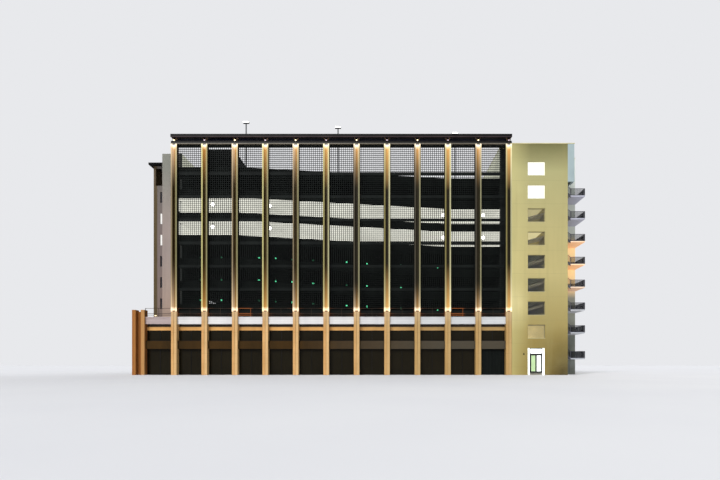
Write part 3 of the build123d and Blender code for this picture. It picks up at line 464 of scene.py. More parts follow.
def tower_colour(paint):
    """Cream render, lit unevenly from below and from the fins: painted shade darkens its foot, its top and
    its low right corner, and painted highlights brighten its left edge and the band by the fin lamp.
    """
    # Painted light and shade by height: dark at the foot, palest lower down, darker again at the top
    tone = paint.rising(rgb(132, 108, 38), (0.6, 7.0, rgb(190, 176, 120)),
                        (8.0, 14.2, rgb(174, 169, 120)), (14.0, 15.8, rgb(108, 106, 66)))
    # Painted shadow over the low right corner, and a painted highlight along the left edge
    low_corner_shadow = paint.times(paint.span(paint.z, 0.2, 3.4, 1.0, 0.0), paint.across(27.6, 29.6))
    tone = paint.blend(low_corner_shadow, tone, rgb(82, 70, 38))
    tone = paint.blend(paint.across(TOWER_X, 27.4, 0.55, 0.0), tone, rgb(212, 202, 138))
    lamp = paint.times(paint.between(paint.z, 3.9, 5.9, 0.9), paint.across(TOWER_X, 27.5, 0.8, 0.0))
    tone = paint.blend(lamp, tone, rgb(240, 226, 166))
    tone = paint.blend(paint.patches(0.45, 5.0, 1.0, 0.35, 0.7, 0.0, 0.3), tone, rgb(168, 158, 108))
    rain = paint.patches(2.6, 3.0, 0.05, 0.52, 0.78, 0.0, 0.3)
    tone = paint.blend(rain, tone, rgb(162, 152, 102))
    joint = paint.times(paint.lines(paint.z, *RENDER_JOINT), 0.35)
    return paint.blend(joint, tone, rgb(130, 122, 86))


def side_colour(paint):
    """Pale render of the core, warmer low down, with painted shade over its left part, darkest in a brown
    strip at its left corner, and where it shows behind the screen.
    """
    tone = paint.rising(rgb(178, 152, 134), (3.0, 9.0, rgb(162, 147, 140)), (10.5, 15.0, rgb(136, 136, 126)))
    # Painted shade over the left part and, darker, on the strip at the left corner
    tone = paint.blend(paint.across(1.25, 1.32, 0.62, 0.0), tone, rgb(84, 72, 72))
    tone = paint.blend(paint.across(0.24, 0.3, 1.0, 0.0), tone, rgb(86, 72, 46))
    shade_behind_screen = paint.times(paint.across(2.30, 2.36), paint.faces_front())
    tone = paint.blend(shade_behind_screen, tone, FAINT_SHADE)
    return paint.blend(paint.patches(2.4, 4.0, 0.06, 0.45, 0.75, 0.0, 0.4), tone, rgb(132, 118, 112))


def render_wall(name, colour_of, grain=40.0):
    """A rendered wall in the colour that a function gives."""
    paint = mineral_base(name, grain)
    paint.colour(colour_of(paint))
    return paint.material


def deck_side_wall(name, wall_x, outward, colour_of, shade, end_open):
    """A wall beside the decks: its deck face and front end are in painted shade, but for painted light in
    lit storeys and on the roof.
    """
    face_reach, end_reach = 0.02, 0.16
    paint = mineral_base(name, grain=55.0)
    towards_decks = paint.over(paint.times(paint.facing[0], outward), FACING)
    near = paint.between(paint.x, X0 + wall_x - face_reach, X0 + wall_x + face_reach, EDGE)
    deck_face = paint.times(towards_decks, near)
    top = paint.over(storey_level(paint), right_level(DECKS) + 0.02)
    lit = paint.most(lit_share(paint), top)
    inner = paint.blend(lit, shade, paint.blend(top, LIT_CONCRETE, rgb(170, 172, 154)))
    # Painted shade on the wall's front end; where end_open is set, painted light in the lit storeys
    end = paint.between(paint.x, X0 + wall_x - end_reach, X0 + wall_x + end_reach, EDGE)
    end = paint.times(end, paint.faces_front())
    end_lit = paint.times(paint.times(end, open_share(paint)), lit_share(paint))
    end_lit = paint.times(end_lit, end_open)
    colour = paint.blend(end, colour_of(paint), FAINT_SHADE)
    paint.colour(paint.blend(deck_face, colour, inner))
    light = paint.blend(top, TUBE_LIGHT, rgb(178, 180, 164))
    paint.glow(light, WALL_GLOW, paint.most(paint.times(lit, deck_face), end_lit))
    return paint.material


def fin_shift(paint):
    """X with the centre of fin n at n + 100.5 bays, so that it stays positive."""
    return paint.math("ADD", paint.x, 100.5 * BAY - X0 - FIRST_FIN)


def fin_offset(paint):
    """Distance from the centre of the nearest fin."""
    return paint.math("ABSOLUTE", paint.minus(paint.math("MODULO", fin_shift(paint), BAY), BAY / 2))


def fin_left(paint):
    """1 on the left half of each fin."""
    return paint.under(paint.math("MODULO", fin_shift(paint), BAY), BAY / 2)


def fin_odd(paint):
    """1 on every second fin, from the second one on."""
    return paint.math("MODULO", paint.math("FLOOR", paint.math("DIVIDE", fin_shift(paint), BAY)), 2.0)


def fin_skin():
    """Champagne fins with painted light and shade: flanges lit unevenly, a brown channel and dark sides in
    painted shade, and painted light from foot and head lamps.
    """
    paint = metal_base("fin_skin", rough=0.5, shine=0.1, specular=0.15)
    flange = paint.times(paint.faces_front(), paint.under(paint.y, Y0 + FIN_FACE))
    within = paint.under(fin_offset(paint), FIN_W / 2 - FIN_SIDE)
    inside = paint.times(within, paint.flip(flange))
    inside = paint.times(inside, paint.under(paint.facing[1], FACING))
    odd = fin_odd(paint)
    even = paint.flip(odd)
    rightward = paint.along(3, 6)
    brighter = paint.along(1, 7)

    # Painted light and shade on the flanges: the halves, the odd and even fins and the fins towards the
    # right are each lit differently
    left_half_light_left = paint.blend(odd, rgb(134, 118, 90), rgb(184, 176, 116))
    left_half_light_right = paint.blend(odd, rgb(62, 57, 47), rgb(128, 118, 70))
    left = paint.blend(rightward, left_half_light_left, left_half_light_right)
    right_half_light_right = paint.blend(odd, rgb(136, 132, 100), rgb(182, 177, 136))
    right = paint.blend(rightward, rgb(130, 124, 84), right_half_light_right)
    grain = paint.patches(1.1, 4.0, 0.2, 0.3, 0.7, 0.0, 0.2)
    flange_light_and_grain = paint.blend(grain, paint.blend(fin_left(paint), right, left), rgb(90, 80, 52))
    # The brown of the channel is painted shade, darker towards the right, with painted lamplight near the
    # foot and head
    brown = paint.blend(grain, rgb(82, 65, 30), rgb(66, 52, 23))
    brown = paint.blend(rightward, brown, rgb(44, 38, 21))

    reach = paint.most(paint.span(rightward, 0.0, 1.0, *EVEN_REACH), paint.times(odd, ODD_REACH))
    rise = paint.math("DIVIDE", paint.minus(paint.z, FIN_FOOT), reach)
    odd_right = paint.times(brighter, odd)
    foot_power = paint.span(odd_right, 0.0, 1.0, *FOOT_POWER)
    low = paint.math("POWER", paint.span(rise, 0.0, 1.0, 1.0, 0.0), foot_power)
    head_power = paint.span(odd_right, 0.0, 1.0, *HEAD_POWER)
    high = paint.math("POWER", paint.span(paint.z, FIN_TOP - HEAD_REACH, FIN_TOP), head_power)
    ends = paint.most(low, high)
    channel = paint.most(high, paint.times(low, paint.span(odd, 0.0, 1.0, *CHANNEL_SHARE)))

    brown = paint.blend(channel, brown, rgb(166, 126, 66))
    # Painted shade on the fin sides, lighter near the lamps
    outer = paint.blend(ends, rgb(28, 27, 20), rgb(62, 50, 32))
    paint.colour(paint.blend(flange, paint.blend(inside, outer, brown), flange_light_and_grain))

    # Painted light from the lamps: warm on the flanges, amber in the channel and on its rim, and glare spots
    # at both ends
    warm_odd = paint.blend(brighter, rgb(172, 146, 94), rgb(236, 218, 168))
    warm = paint.blend(ends, BLACK, paint.blend(odd, rgb(244, 210, 166), warm_odd))
    rim = paint.times(paint.over(fin_offset(paint), RIM_FROM), even)
    amber_odd = paint.blend(brighter, rgb(180, 134, 72), rgb(210, 170, 106))
    amber = paint.blend(odd, rgb(184, 140, 82), amber_odd)
    amber = paint.blend(channel, BLACK, paint.blend(rim, amber, rgb(232, 202, 166)))
    light = paint.blend(flange, paint.blend(inside, BLACK, amber), warm)
    head_spot = paint.span(paint.z, FIN_TOP - HEAD_SPOT[0], FIN_TOP - HEAD_SPOT[1])
    foot_spot = paint.between(paint.z, FIN_FOOT + FOOT_SPOT[0], FIN_FOOT + FOOT_SPOT[1], 0.1)
    spots = paint.times(paint.most(head_spot, foot_spot), paint.most(inside, flange))
    spots = paint.blend(spots, BLACK, rgb(255, 246, 226))
    paint.glow(paint.plus(light, spots), FIN_GLOW)
    return paint.material


def sandstone():
    """Stone-coloured cladding on the piers and pylon, in sheets with fine joints; painted shade on the side
    faces, towards the right and on the pylon's left part and groove, painted highlights on the right half
    and top of each pier, and a painted glow under the fin lamps.
    """
    paint = mineral_base("sandstone", grain=50.0)
    colour = paint.blend(paint.patches(1.4, 5.0, 0.4), rgb(226, 176, 114), rgb(204, 154, 94))
    # Painted shade on the side faces, a painted highlight on the right half of each pier, painted shade
    # towards the right and a painted highlight at the top, under the fin lamps
    side = paint.over(paint.math("ABSOLUTE", paint.facing[0]), FACING)
    colour = paint.blend(side, colour, rgb(178, 132, 66))
    colour = paint.blend(paint.times(paint.flip(fin_left(paint)), 0.35), colour, rgb(230, 204, 152))
    colour = paint.blend(paint.along(5, 8, 0.0, 0.6), colour, rgb(164, 138, 86))
    colour = paint.blend(paint.span(paint.z, 3.3, 4.0, 0.0, 0.6), colour, rgb(186, 164, 130))
    seam = paint.times(paint.under(fin_offset(paint), SEAM_HALF), paint.span(paint.z, 0.8, 2.6, 0.2, 0.7))
    colour = paint.blend(seam, colour, rgb(112, 78, 44))
    pylon = paint.under(paint.x, X0 + PYLON_W + 0.05)
    # The pylon, in painted shade at its left and in its groove
    tan = paint.blend(paint.across(0.1, 0.75), rgb(158, 100, 44), rgb(184, 136, 82))
    tan = paint.blend(paint.over(paint.y, Y0 + 0.1), tan, rgb(134, 80, 30))
    colour = paint.blend(pylon, colour, tan)
    specks = paint.patches(50.0, 2.0, 1.0, 0.45, 0.8, 0.0, 0.3)
    colour = paint.blend(specks, colour, rgb(176, 136, 86))
    upright = paint.under(paint.math("ABSOLUTE", paint.facing[2]), FACING)
    joint = paint.times(paint.times(paint.lines(paint.z, *STONE_JOINT), upright), 0.5)
    paint.colour(paint.blend(joint, colour, rgb(140, 104, 64)))
    top = paint.times(paint.span(paint.z, 3.6, FIN_FOOT, 0.0, 0.2), paint.flip(pylon))
    paint.glow(rgb(255, 206, 140), STONE_GLOW, top)
    return paint.material


def white_panels():
    """The white band: long flutes between its two lips."""
    paint, colour = metal("white_panels", rgb(230, 228, 226), rgb(218, 216, 216), rough=0.45, shine=0.0)
    flutes = paint.times(paint.lines(paint.z, *FLUTES), paint.faces_front())
    # Painted shade at the left end and towards the right
    colour = paint.blend(paint.across(2.5, 3.2, 0.9, 0.0), colour, rgb(172, 152, 148))
    colour = paint.blend(paint.along(5, 8, 0.0, 0.6), colour, rgb(194, 198, 200))
    paint.colour(paint.blend(paint.times(flutes, 0.3), colour, rgb(120, 112, 122)))
    return paint.material


def bronze_panel():
    """The bare sign band: bronze at the left, greyer to the right."""
    paint, colour = metal("bronze_panel", rgb(64, 44, 16), rgb(52, 36, 12), rough=0.6, **MATT)
    paint.colour(paint.blend(paint.along(4, 9, 0.0, 0.85), colour, rgb(78, 73, 62)))
    return paint.material


def bulkhead_gold():
    """Gilt beams, in painted shade towards the right, with the set-back upstand over them and their top
    faces in painted shadow.
    """
    paint, colour = metal("bulkhead_gold", rgb(226, 170, 96), rgb(200, 146, 78), rough=0.5, shine=0.1)
    # Painted shade towards the right
    colour = paint.blend(paint.along(5, 9, 0.0, 0.65), colour, rgb(140, 124, 80))
    gap = paint.times(paint.over(paint.y, Y0 + UPSTAND_Y), paint.faces_front())
    paint.colour(paint.blend(paint.most(gap, paint.faces_up()), colour, rgb(44, 32, 18)))
    return paint.material


def rail_shade_and_lit_edge():
    """The rail over the fin heads: dark in painted shade, with a thin gilt edge of painted light at its
    foot.
    """
    paint = metal_base("rail_shade_and_lit_edge", rough=0.5, shine=0.1)
    grain = paint.span(paint.noise(1.6, 4.0, (0.3, 1.0, 1.0)), 0.35, 0.65)
    dark = paint.blend(grain, rgb(26, 28, 28), rgb(18, 20, 20))
    gilt = paint.blend(grain, rgb(118, 110, 96), rgb(102, 95, 80))
    # Painted light along the rail's foot, painted shade above it
    edge = paint.under(paint.z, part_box("cap_rail")[0].z + LIT_EDGE)
    paint.colour(paint.blend(edge, dark, gilt))
    return paint.material


def rail_skin():
    """Bronze railing, lit orange beside the fin lamps and most in two of the bays."""
    paint = metal("rail_bronze", rgb(60, 46, 34), rgb(40, 32, 26), rough=0.45, shine=0.2, specular=0.2)[0]
    near = paint.math("POWER", paint.span(fin_offset(paint), 0.2, 0.75, 1.0, 0.0), 2.0)
    near = paint.times(near, paint.over(paint.x, X0 + FIRST_FIN))
    starts = [X0 + fin_x(n) + 0.2 for n in ORANGE_GLOW_BAYS]
    bright = [paint.between(paint.x, start, start + 0.9, 0.15) for start in starts]
    near = paint.most(paint.times(near, 0.3), paint.most(*bright))
    paint.glow(rgb(240, 130, 50), RAIL_GLOW, near)
    return paint.material


def window_frame():
    """Cream window frames, bright round the lit windows."""
    paint = metal("window_frame", rgb(158, 150, 114), rgb(140, 132, 98), rough=0.5, shine=0.0)[0]
    lit = paint.over(paint.z, right_level(LIT_WINDOWS[0]) + UNDER_WINDOW)
    paint.glow(rgb(255, 255, 250), 1.0, lit)
    return paint.material


def tower_inside():
    """Floors in the tower: brown and softly lit with painted light under the upper ones, in painted shade
    lower down.
    """
    paint = mineral_base("tower_inside")
    upper = paint.between(paint.z, right_level(SOFT_WINDOWS[0]) + UNDER_WINDOW,
                          right_level(LIT_WINDOWS[0]) + UNDER_WINDOW)
    right = paint.across(WINDOW_X0 + 0.2, WINDOW_X1 + 0.2)
    low = paint.blend(right, rgb(14, 16, 13), rgb(66, 66, 48))
    under = paint.faces_down()
    paint.colour(paint.blend(under, rgb(150, 146, 134), paint.blend(upper, low, rgb(150, 138, 102))))
    soft = paint.rising(rgb(246, 230, 172), (10.6, 11.2, rgb(206, 192, 142)))
    light = paint.blend(upper, paint.blend(right, BLACK, rgb(72, 72, 50)), soft)
    paint.glow(light, ROOM_GLOW, under)
    return paint.material


def slot_glass():
    """Slot windows of the core: two storeys lit, the rest dark."""
    paint = glass("slot_glass", rgb(34, 30, 38), clear=0.2)
    low = right_level(LIT_DECKS[0] - 1) + RISE
    paint.glow(rgb(252, 250, 244), ROOM_GLOW, paint.between(paint.z, low, low + 2 * STOREY, 0.05))
    return paint.material


def stair_skin(name, cool, warm, low):
    """Concrete of the escape stair: painted light colours the faces not turned back or up, with an orange
    glow half way up, paler light over and under it and little light low down; faces turned back or up keep a
    plain render colour.
    """
    paint = mineral_base(name)
    tone = paint.rising(low, (5.6, 6.4, warm), (9.6, 10.3, cool))
    tone = paint.blend(paint.patches(0.9, 4.0, 1.0, 0.35, 0.65, 0.0, 0.3), tone, deeper(cool))
    away = paint.most(paint.faces_back(), paint.faces_up())
    paint.colour(paint.blend(away, tone, rgb(176, 168, 130)))
    under = paint.faces_down()
    soft = paint.rising(rgb(8, 9, 9), (2.6, 4.4, rgb(126, 124, 112)))
    soft = paint.blend(under, soft, rgb(108, 106, 108))
    orange = paint.blend(under, rgb(246, 206, 140), rgb(238, 160, 80))
    light = paint.blend(paint.between(paint.z, 6.1, 9.7, 0.5), soft, orange)
    paint.glow(light, STAIR_GLOW, paint.flip(away))
    return paint.material


MATT = {"shine": 0.0, "specular": 0.08}
screen_black = plain_metal("screen_black", rgb(20, 24, 22), rgb(12, 15, 14), rough=0.6, **MATT)
dark_frame = plain_metal("dark_frame", rgb(28, 26, 25), rgb(18, 17, 17), rough=0.5, **MATT)
pole_grey = plain_metal("pole_grey", rgb(96, 98, 100), rgb(78, 80, 82), rough=0.5, shine=0.3)
guard_dark = plain_metal("guard_dark", rgb(36, 37, 42), rgb(26, 27, 32), rough=0.5, **MATT)
trim_gold = plain_metal("trim_gold", rgb(120, 92, 66), rgb(98, 74, 52), rough=0.4, shine=0.2)
trim_dim = plain_metal("trim_dim", rgb(82, 66, 66), rgb(64, 52, 56), rough=0.5, **MATT)
cap_navy = plain_metal("cap_navy", rgb(30, 32, 54), rgb(20, 22, 40), rough=0.5, **MATT)
lamp_white = lamp_skin("lamp_white", rgb(255, 253, 245), 4.0)
lamp_warm = lamp_skin("lamp_warm", rgb(255, 230, 180), 3.0)
lamp_dim = lamp_skin("lamp_dim", rgb(196, 176, 190), 0.8)
lamp_green = lamp_skin("lamp_green", rgb(90, 220, 160), 1.6)
lamp_faint = lamp_skin("lamp_faint", rgb(50, 120, 86), 0.6)

SKINS = {
    "concrete": deck_concrete("deck_concrete"),
    "dark_concrete": parapet_concrete(),
    "rear_wall": plain_mineral("rear_wall", rgb(172, 163, 146), rgb(150, 141, 124)),
    "white_render": render_wall("side_render", side_colour),
    "podium_roof": plain_mineral("podium_roof", rgb(150, 146, 140), rgb(126, 122, 116), grain=25.0),
    "dark_roof": plain_mineral("dark_roof", rgb(20, 21, 21), rgb(13, 14, 14), grain=60.0, specular=0.05),
    "cream_render": render_wall("tower_render", tower_colour, grain=55.0),
    "sandstone": sandstone(),
    "fin_metal": fin_skin(),
    "screen_steel": screen_black,
    "white_panel": white_panels(),
    "bronze_panel": bronze_panel(),
    "dark_frame": dark_frame,
    "bracket_metal": trim_gold,
    "shop_glass": glass("shop_glass", rgb(32, 28, 18), clear=0.05, rough=0.1, specular=0.05).material,
    "window_glass": glass("window_glass", rgb(226, 230, 226), clear=1.0).material,
    "rail_steel": rail_skin(),
    "door_metal": plain_metal("door_metal", rgb(40, 40, 42), rgb(26, 26, 28), rough=0.35, shine=0.4),
    "door_glass": glowing_glass("door_glass", rgb(240, 248, 244), rgb(255, 255, 252), 0.85),
    "stair_concrete": stair_skin("stair_concrete", rgb(176, 178, 196), rgb(226, 196, 168),
                                 rgb(190, 193, 198)),
    "stair_steel": plain_metal("stair_grey", rgb(92, 92, 100), rgb(70, 70, 78), rough=0.5, shine=0.2),
    "lamp_metal": pole_grey,
}
NODE_SKINS = {
    "rear_ramp_decks": deck_concrete("rear_deck_concrete", rear=True),
    "ground_slab": plain_mineral("ground_concrete", rgb(120, 118, 112), rgb(98, 96, 92)),
    "front_columns": storey_concrete("front_column_shade", rgb(150, 148, 140), rgb(126, 124, 118), rgb(56, 57, 56)),
    "spine_columns": storey_concrete("column_grey", rgb(150, 148, 140), rgb(126, 124, 118), FAINT_SHADE),
    "rear_columns": plain_mineral("column_pale", rgb(186, 180, 166), rgb(164, 158, 146)),
    "fin_brackets": guard_dark,
    "cap_rail": rail_shade_and_lit_edge(),
    "bulkhead_beams": bulkhead_gold(),
    "tower_window_frames": window_frame(),
    "core_floors": plain_mineral("core_floor", rgb(96, 92, 88), rgb(78, 74, 70)),
    "core_side_walls": deck_side_wall("core_side", DECK_X0, 1.0, side_colour, FAINT_SHADE, 1.0),
    "core_slot_glass": slot_glass(),
    "tower_floors": tower_inside(),
    "tower_side_walls": deck_side_wall("tower_side", DECK_X1, -1.0, tower_colour, DEEP_SHADE, 0.0),
    # The return wall is near black in painted shade
    "tower_return_wall": plain_mineral("return_wall", rgb(28, 28, 24), rgb(20, 20, 18)),
    # The coping's pale colour, which the window sills share, is partly its own and partly a painted
    # highlight
    "tower_coping": plain_metal("coping_pale_and_highlight", rgb(222, 214, 168), rgb(204, 196, 152), shine=0.0),
    "stair_head": plain_mineral("head_render", rgb(172, 188, 188), rgb(156, 172, 174)),
    "stair_back_wall": stair_skin("stair_wall", rgb(198, 206, 200), rgb(244, 216, 166), rgb(122, 124, 112)),
    "stair_treads": plain_mineral("tread_concrete", rgb(92, 92, 98), rgb(74, 74, 80)),
    "door_left_glass": glowing_glass("green_glass", rgb(168, 196, 154), rgb(186, 206, 160), 0.68),
}


def dress():
    """Gives every node of the model its material."""
    slots = {row["node"]: row["material_slot"] for row in frame["record"]["subparts"]}
    for name, node in frame["nodes"].items():
        skin = NODE_SKINS.get(name, SKINS[slots[name]])
        if not node.material_slots:
            node.data.materials.append(skin)
        for holder in node.material_slots:
            holder.material = skin


# Meshes
QUADS = ((0, 1, 3, 2), (4, 6, 7, 5), (0, 4, 5, 1), (2, 3, 7, 6), (0, 2, 6, 4), (1, 5, 7, 3))


def finish_piece(name, verts, faces, skin, body, bevel):
    mesh = bpy.data.meshes.new(name)
    mesh.from_pydata([(x + X0, y + Y0, z) for x, y, z in verts], [], faces)
    mesh.materials.append(skin)
    piece = bpy.data.objects.new(name, mesh)
    bpy.context.scene.collection.objects.link(piece)
    if bevel:
        rounding = piece.modifiers.new("edges", "BEVEL")
        rounding.width = bevel
        rounding.segments = 2
    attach(piece, body)


def boxes(name, corners, skin, body="building", bevel=0.0):
    """One piece of many boxes, each (x0, x1, y0, y1, z0, z1)."""
    verts, faces = [], []
    for x0, x1, y0, y1, z0, z1 in corners:
        first = len(verts)
        verts += [(x, y, z) for x in (x0, x1) for y in (y0, y1) for z in (z0, z1)]
        faces += [tuple(first + i for i in quad) for quad in QUADS]
    finish_piece(name, verts, faces, skin, body, bevel)


def prisms(name, rows, skin, bevel=0.0):
    """One piece of many prisms, each an outline in X and Z, counter-clockwise from the front, y0 and y1."""
    verts, faces = [], []
    for outline, y0, y1 in rows:
        first = len(verts)
        count = len(outline)
        verts += [(x, y0, z) for x, z in outline]
        verts += [(x, y1, z) for x, z in outline]
        faces.append(tuple(range(first, first + count)))
        faces.append(tuple(range(first + 2 * count - 1, first + count - 1, -1)))
        for i in range(count):
            j = (i + 1) % count
            faces.append((first + i, first + count + i, first + count + j, first + j))
    finish_piece(name, verts, faces, skin, "building", bevel)


def bay_span(number):
    """The clear span between two fins."""
    return fin_x(number) + FIN_W / 2, fin_x(number + 1) - FIN_W / 2


def steps(low, high, pitch):
    """Evenly spaced places inside a span, about a pitch apart."""
    count = round((high - low) / pitch)
    return [low + (high - low) * i / count for i in range(1, count)]


def mesh_screens():
    """Square mesh in each bay with stiles at the fins, its upright bars in front of its level ones."""
    foot, head = CANOPY_TOP + 0.02, FIN_TOP - 0.02
    half = MESH_BAR / 2
    near = MESH_BACK - 2 * MESH_FLAT
    middle = MESH_BACK - MESH_FLAT
    for n in range(BAYS):
        a, b = bay_span(n)
        rows = [(x - half, x + half, near, middle, foot, head) for x in steps(a, b, MESH_STEP)]
        rows += [(a, b, middle, MESH_BACK, z - half, z + half) for z in steps(foot, head, MESH_STEP)]
        rows += [(x, x + STILE, near - 0.01, MESH_BACK, foot, head) for x in (a, b - STILE)]
        boxes(f"mesh_screen_{n + 1}", rows, screen_black)


def side_screens():
    """Mesh over the open ends of the storeys, from parapet to soffit, behind the core and the tower."""
    half = MESH_BAR / 2
    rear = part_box("left_end_decks")[1].y - Y0 - 0.075
    sides = (
        ("left", DECK_X0 + 0.02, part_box("core_side_walls")[1].y - Y0, RISE),
        ("right", DECK_X1 - 0.06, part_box("tower_side_walls")[1].y - Y0 + 0.15, 0.0),
    )
    for name, x, start, rise in sides:
        rows = []
        for deck in range(1, DECKS):
            foot = right_level(deck) + rise + PARAPET
            head = right_level(deck + 1) + rise - SLAB
            ups = steps(start, rear, MESH_STEP)
            levels = steps(foot, head, MESH_STEP)
            rows += [(x, x + MESH_FLAT, y - half, y + half, foot, head) for y in ups]
            rows += [(x + MESH_FLAT, x + 2 * MESH_FLAT, start, rear, z - half, z + half) for z in levels]
        boxes(f"{name}_end_screens", rows, screen_black)


def cap_mesh():
    """Mesh behind the forked brackets, and a thin gilt trim under the edge of the cap."""
    x0, x1 = cap_low.x - X0, cap_high.x - X0
    foot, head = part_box("cap_beam")[1].z, cap_low.z
    half = MESH_BAR / 2
    near, far = 0.22, 0.22 + MESH_FLAT
    level_step = 0.065
    rows = [(x - half, x + half, near, far, foot, head) for x in steps(x0, x1, MESH_STEP)]
    rows += [(x0, x1, far, far + MESH_FLAT, z - half, z + half) for z in steps(foot, head, level_step)]
    boxes("cap_mesh", rows, cap_navy)
    front = cap_low.y - Y0
    trim = [(x0, x1, front + 0.005, front + 0.03, head - 0.04, head)]
    boxes("cap_trim", trim, trim_dim, bevel=0.004)


def fin_lamps():
    """An uplight at the foot of each fin, a downlight at its head and a small lamp in its bracket."""
    bodies, lenses, heads, head_lenses, cap_bodies = [], [], [], [], []
    cap_lenses = {lamp_warm: [], lamp_dim: []}
    body_y, lens_y = (0.03, 0.17), (0.045, 0.155)
    foot_top, head_low, cap_z = FIN_FOOT + 0.09, FIN_TOP - 0.06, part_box("cap_beam")[1].z
    for n in range(BAYS + 1):
        x = fin_x(n)
        wide = FIN_W / 2 - FIN_FLANGE - 0.01
        body_x, lens_x = (x - wide, x + wide), (x - wide + 0.02, x + wide - 0.02)
        bodies.append((*body_x, *body_y, FIN_FOOT, foot_top))
        lenses.append((*lens_x, *lens_y, foot_top, FIN_FOOT + 0.1))
        heads.append((*body_x, *body_y, head_low, FIN_TOP))
        head_lenses.append((*lens_x, *lens_y, FIN_TOP - 0.07, head_low))
        cap_bodies.append((x - 0.05, x + 0.05, 0.03, 0.085, cap_z, cap_z + 0.09))
        skin = lamp_dim if n % 2 else lamp_warm
        cap_lenses[skin].append((x - 0.04, x + 0.04, 0.018, 0.03, cap_z + 0.012, cap_z + 0.078))
    boxes("foot_lamps", bodies, trim_gold, bevel=0.006)
    boxes("foot_lenses", lenses, lamp_warm)
    boxes("head_lamps", heads, dark_frame, bevel=0.005)
    boxes("head_lenses", head_lenses, lamp_white)
    boxes("cap_lamps", cap_bodies, dark_frame, bevel=0.005)
    boxes("cap_lenses", cap_lenses[lamp_warm], lamp_warm)
    boxes("cap_lenses_dim", cap_lenses[lamp_dim], lamp_dim)


def railing_posts():
    """A slim post on a foot plate in the middle of each terrace railing."""
    low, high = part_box("terrace_railings")
    y0, y1 = low.y - Y0, high.y - Y0
    post, plate, plate_h = 0.012, 0.03, 0.01
    middles = [(PYLON_W + bay_span(0)[0] - FIN_W) / 2] + [fin_x(n) + BAY / 2 for n in range(BAYS)]
    rows = [(x - post, x + post, y1, y1 + post, CANOPY_TOP, high.z) for x in middles]
    boxes("railing_posts", rows, SKINS["rail_steel"], bevel=0.002)
    feet = [(x - plate, x + plate, y0, y1 + 0.02, CANOPY_TOP, CANOPY_TOP + plate_h) for x in middles]
    boxes("railing_feet", feet, SKINS["rail_steel"])


def stair_infill():
    """Closely set upright bars in the guards of the half landings and flights."""
    bar_foot, bar_head = 0.03, 0.48
    near, far = 0.007, 0.017
    guard, landing = 0.024, 1.010
    landing_step, landing_half = 0.052, 0.013
    flight_step, flight_half = 0.065, 0.01
    low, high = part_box("stair_guards")
    x0, x1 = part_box("stair_landings")[1].x - X0 - landing, high.x - X0
    y0, y1 = low.y - Y0, high.y - Y0
    levels = [GROUND_SLAB] + [right_level(k) for k in range(1, DECKS + 1)]
    rows = []
    for below, above in zip(levels[:-1], levels[1:]):
        z = (below + above) / 2
        foot, head = z + bar_foot, z + bar_head
        for x in steps(x0, x1, landing_step):
            wide = (x - landing_half, x + landing_half)
            rows += [(*wide, y + near, y + far, foot, head) for y in (y0, y1 - guard)]
        for y in steps(y0, y1, landing_step):
            rows.append((x1 - far, x1 - near, y - landing_half, y + landing_half, foot, head))
    boxes("landing_bars", rows, guard_dark)
    rows = []
    run = x0 - FLIGHT_X0
    for below, above in zip(levels[:-1], levels[1:]):
        middle = (below + above) / 2
        for first, last, y in ((below, middle, STAIR_MID_Y), (above, middle, STAIR_FRONT_Y)):
            for x in steps(FLIGHT_X0, x0, flight_step):
                z = first + (last - first) * (x - FLIGHT_X0) / run
                wide = (x - flight_half, x + flight_half)
                rows.append((*wide, y + near, y + far, z + bar_foot, z + bar_head))
    boxes("flight_bars", rows, guard_dark)


def ring(x, z, radius, corners=16):
    """A round outline in X and Z."""
    angles = [math.tau * i / corners for i in range(corners)]
    return [(x + radius * math.cos(a), z + radius * math.sin(a)) for a in angles]


def soffit_over(deck, x, half=0.02):
    """The lowest soffit over a lamp's stem under a front deck."""
    return min(front_level(deck, x - half), front_level(deck, x + half)) - SLAB


# Lamps under the front decks: where the flood lamps hang and how low, and the same for the green
# ones, with those of each deck that shine faintly
FLOOD_X = (5.05, 9.14, 21.57, 24.44)
FLOOD_DROP = 0.24
GREEN_X = (2.96, 4.57, 7.52, 8.82, 10.12, 11.78, 14.40, 16.01, 18.65, 21.56)
GREEN_FAINT = {
    5: (2.96, 4.57, 10.12, 11.78, 18.65),
    4: (2.96, 4.57, 14.40, 21.56),
    3: (7.52, 8.82, 11.78, 18.65),
}
GREEN_DROP = {5: 0.05, 4: 0.23, 3: 0.23}


def storey_lamps():
    """Round flood lamps under the lit soffits, and green bay lights on drop rods lower down."""
    stems, backs, lenses = [], [], []
    stem, stem_y, back_y, lens_y = 0.02, (1.22, 1.26), (1.2, 1.25), (1.185, 1.2)
    for deck in LIT_DECKS:
        for x in FLOOD_X:
            soffit = soffit_over(deck, x)
            z = soffit - FLOOD_DROP
            stems.append((x - stem, x + stem, *stem_y, z, soffit))
            backs.append((ring(x, z, 0.165), *back_y))
            lenses.append((ring(x, z, 0.145), *lens_y))
    boxes("flood_stems", stems, pole_grey)
    prisms("flood_backs", backs, pole_grey, bevel=0.006)
    prisms("flood_fronts", lenses, lamp_white)
    rods, bright, dim = [], [], []
    rod, rod_y, body, body_y, body_h = 0.012, (3.888, 3.912), 0.06, (3.84, 3.96), 0.11
    for deck, weak in GREEN_FAINT.items():
        for x in GREEN_X:
            soffit = soffit_over(deck, x)
            foot = soffit - GREEN_DROP[deck]
            rods.append((x - rod, x + rod, *rod_y, foot, soffit))
            row = dim if x in weak else bright
            row.append((x - body, x + body, *body_y, foot - body_h, foot))
    boxes("bay_light_rods", rods, pole_grey)
    boxes("bay_lights", bright, lamp_green, bevel=0.02)
    boxes("bay_lights_faint", dim, lamp_faint, bevel=0.02)


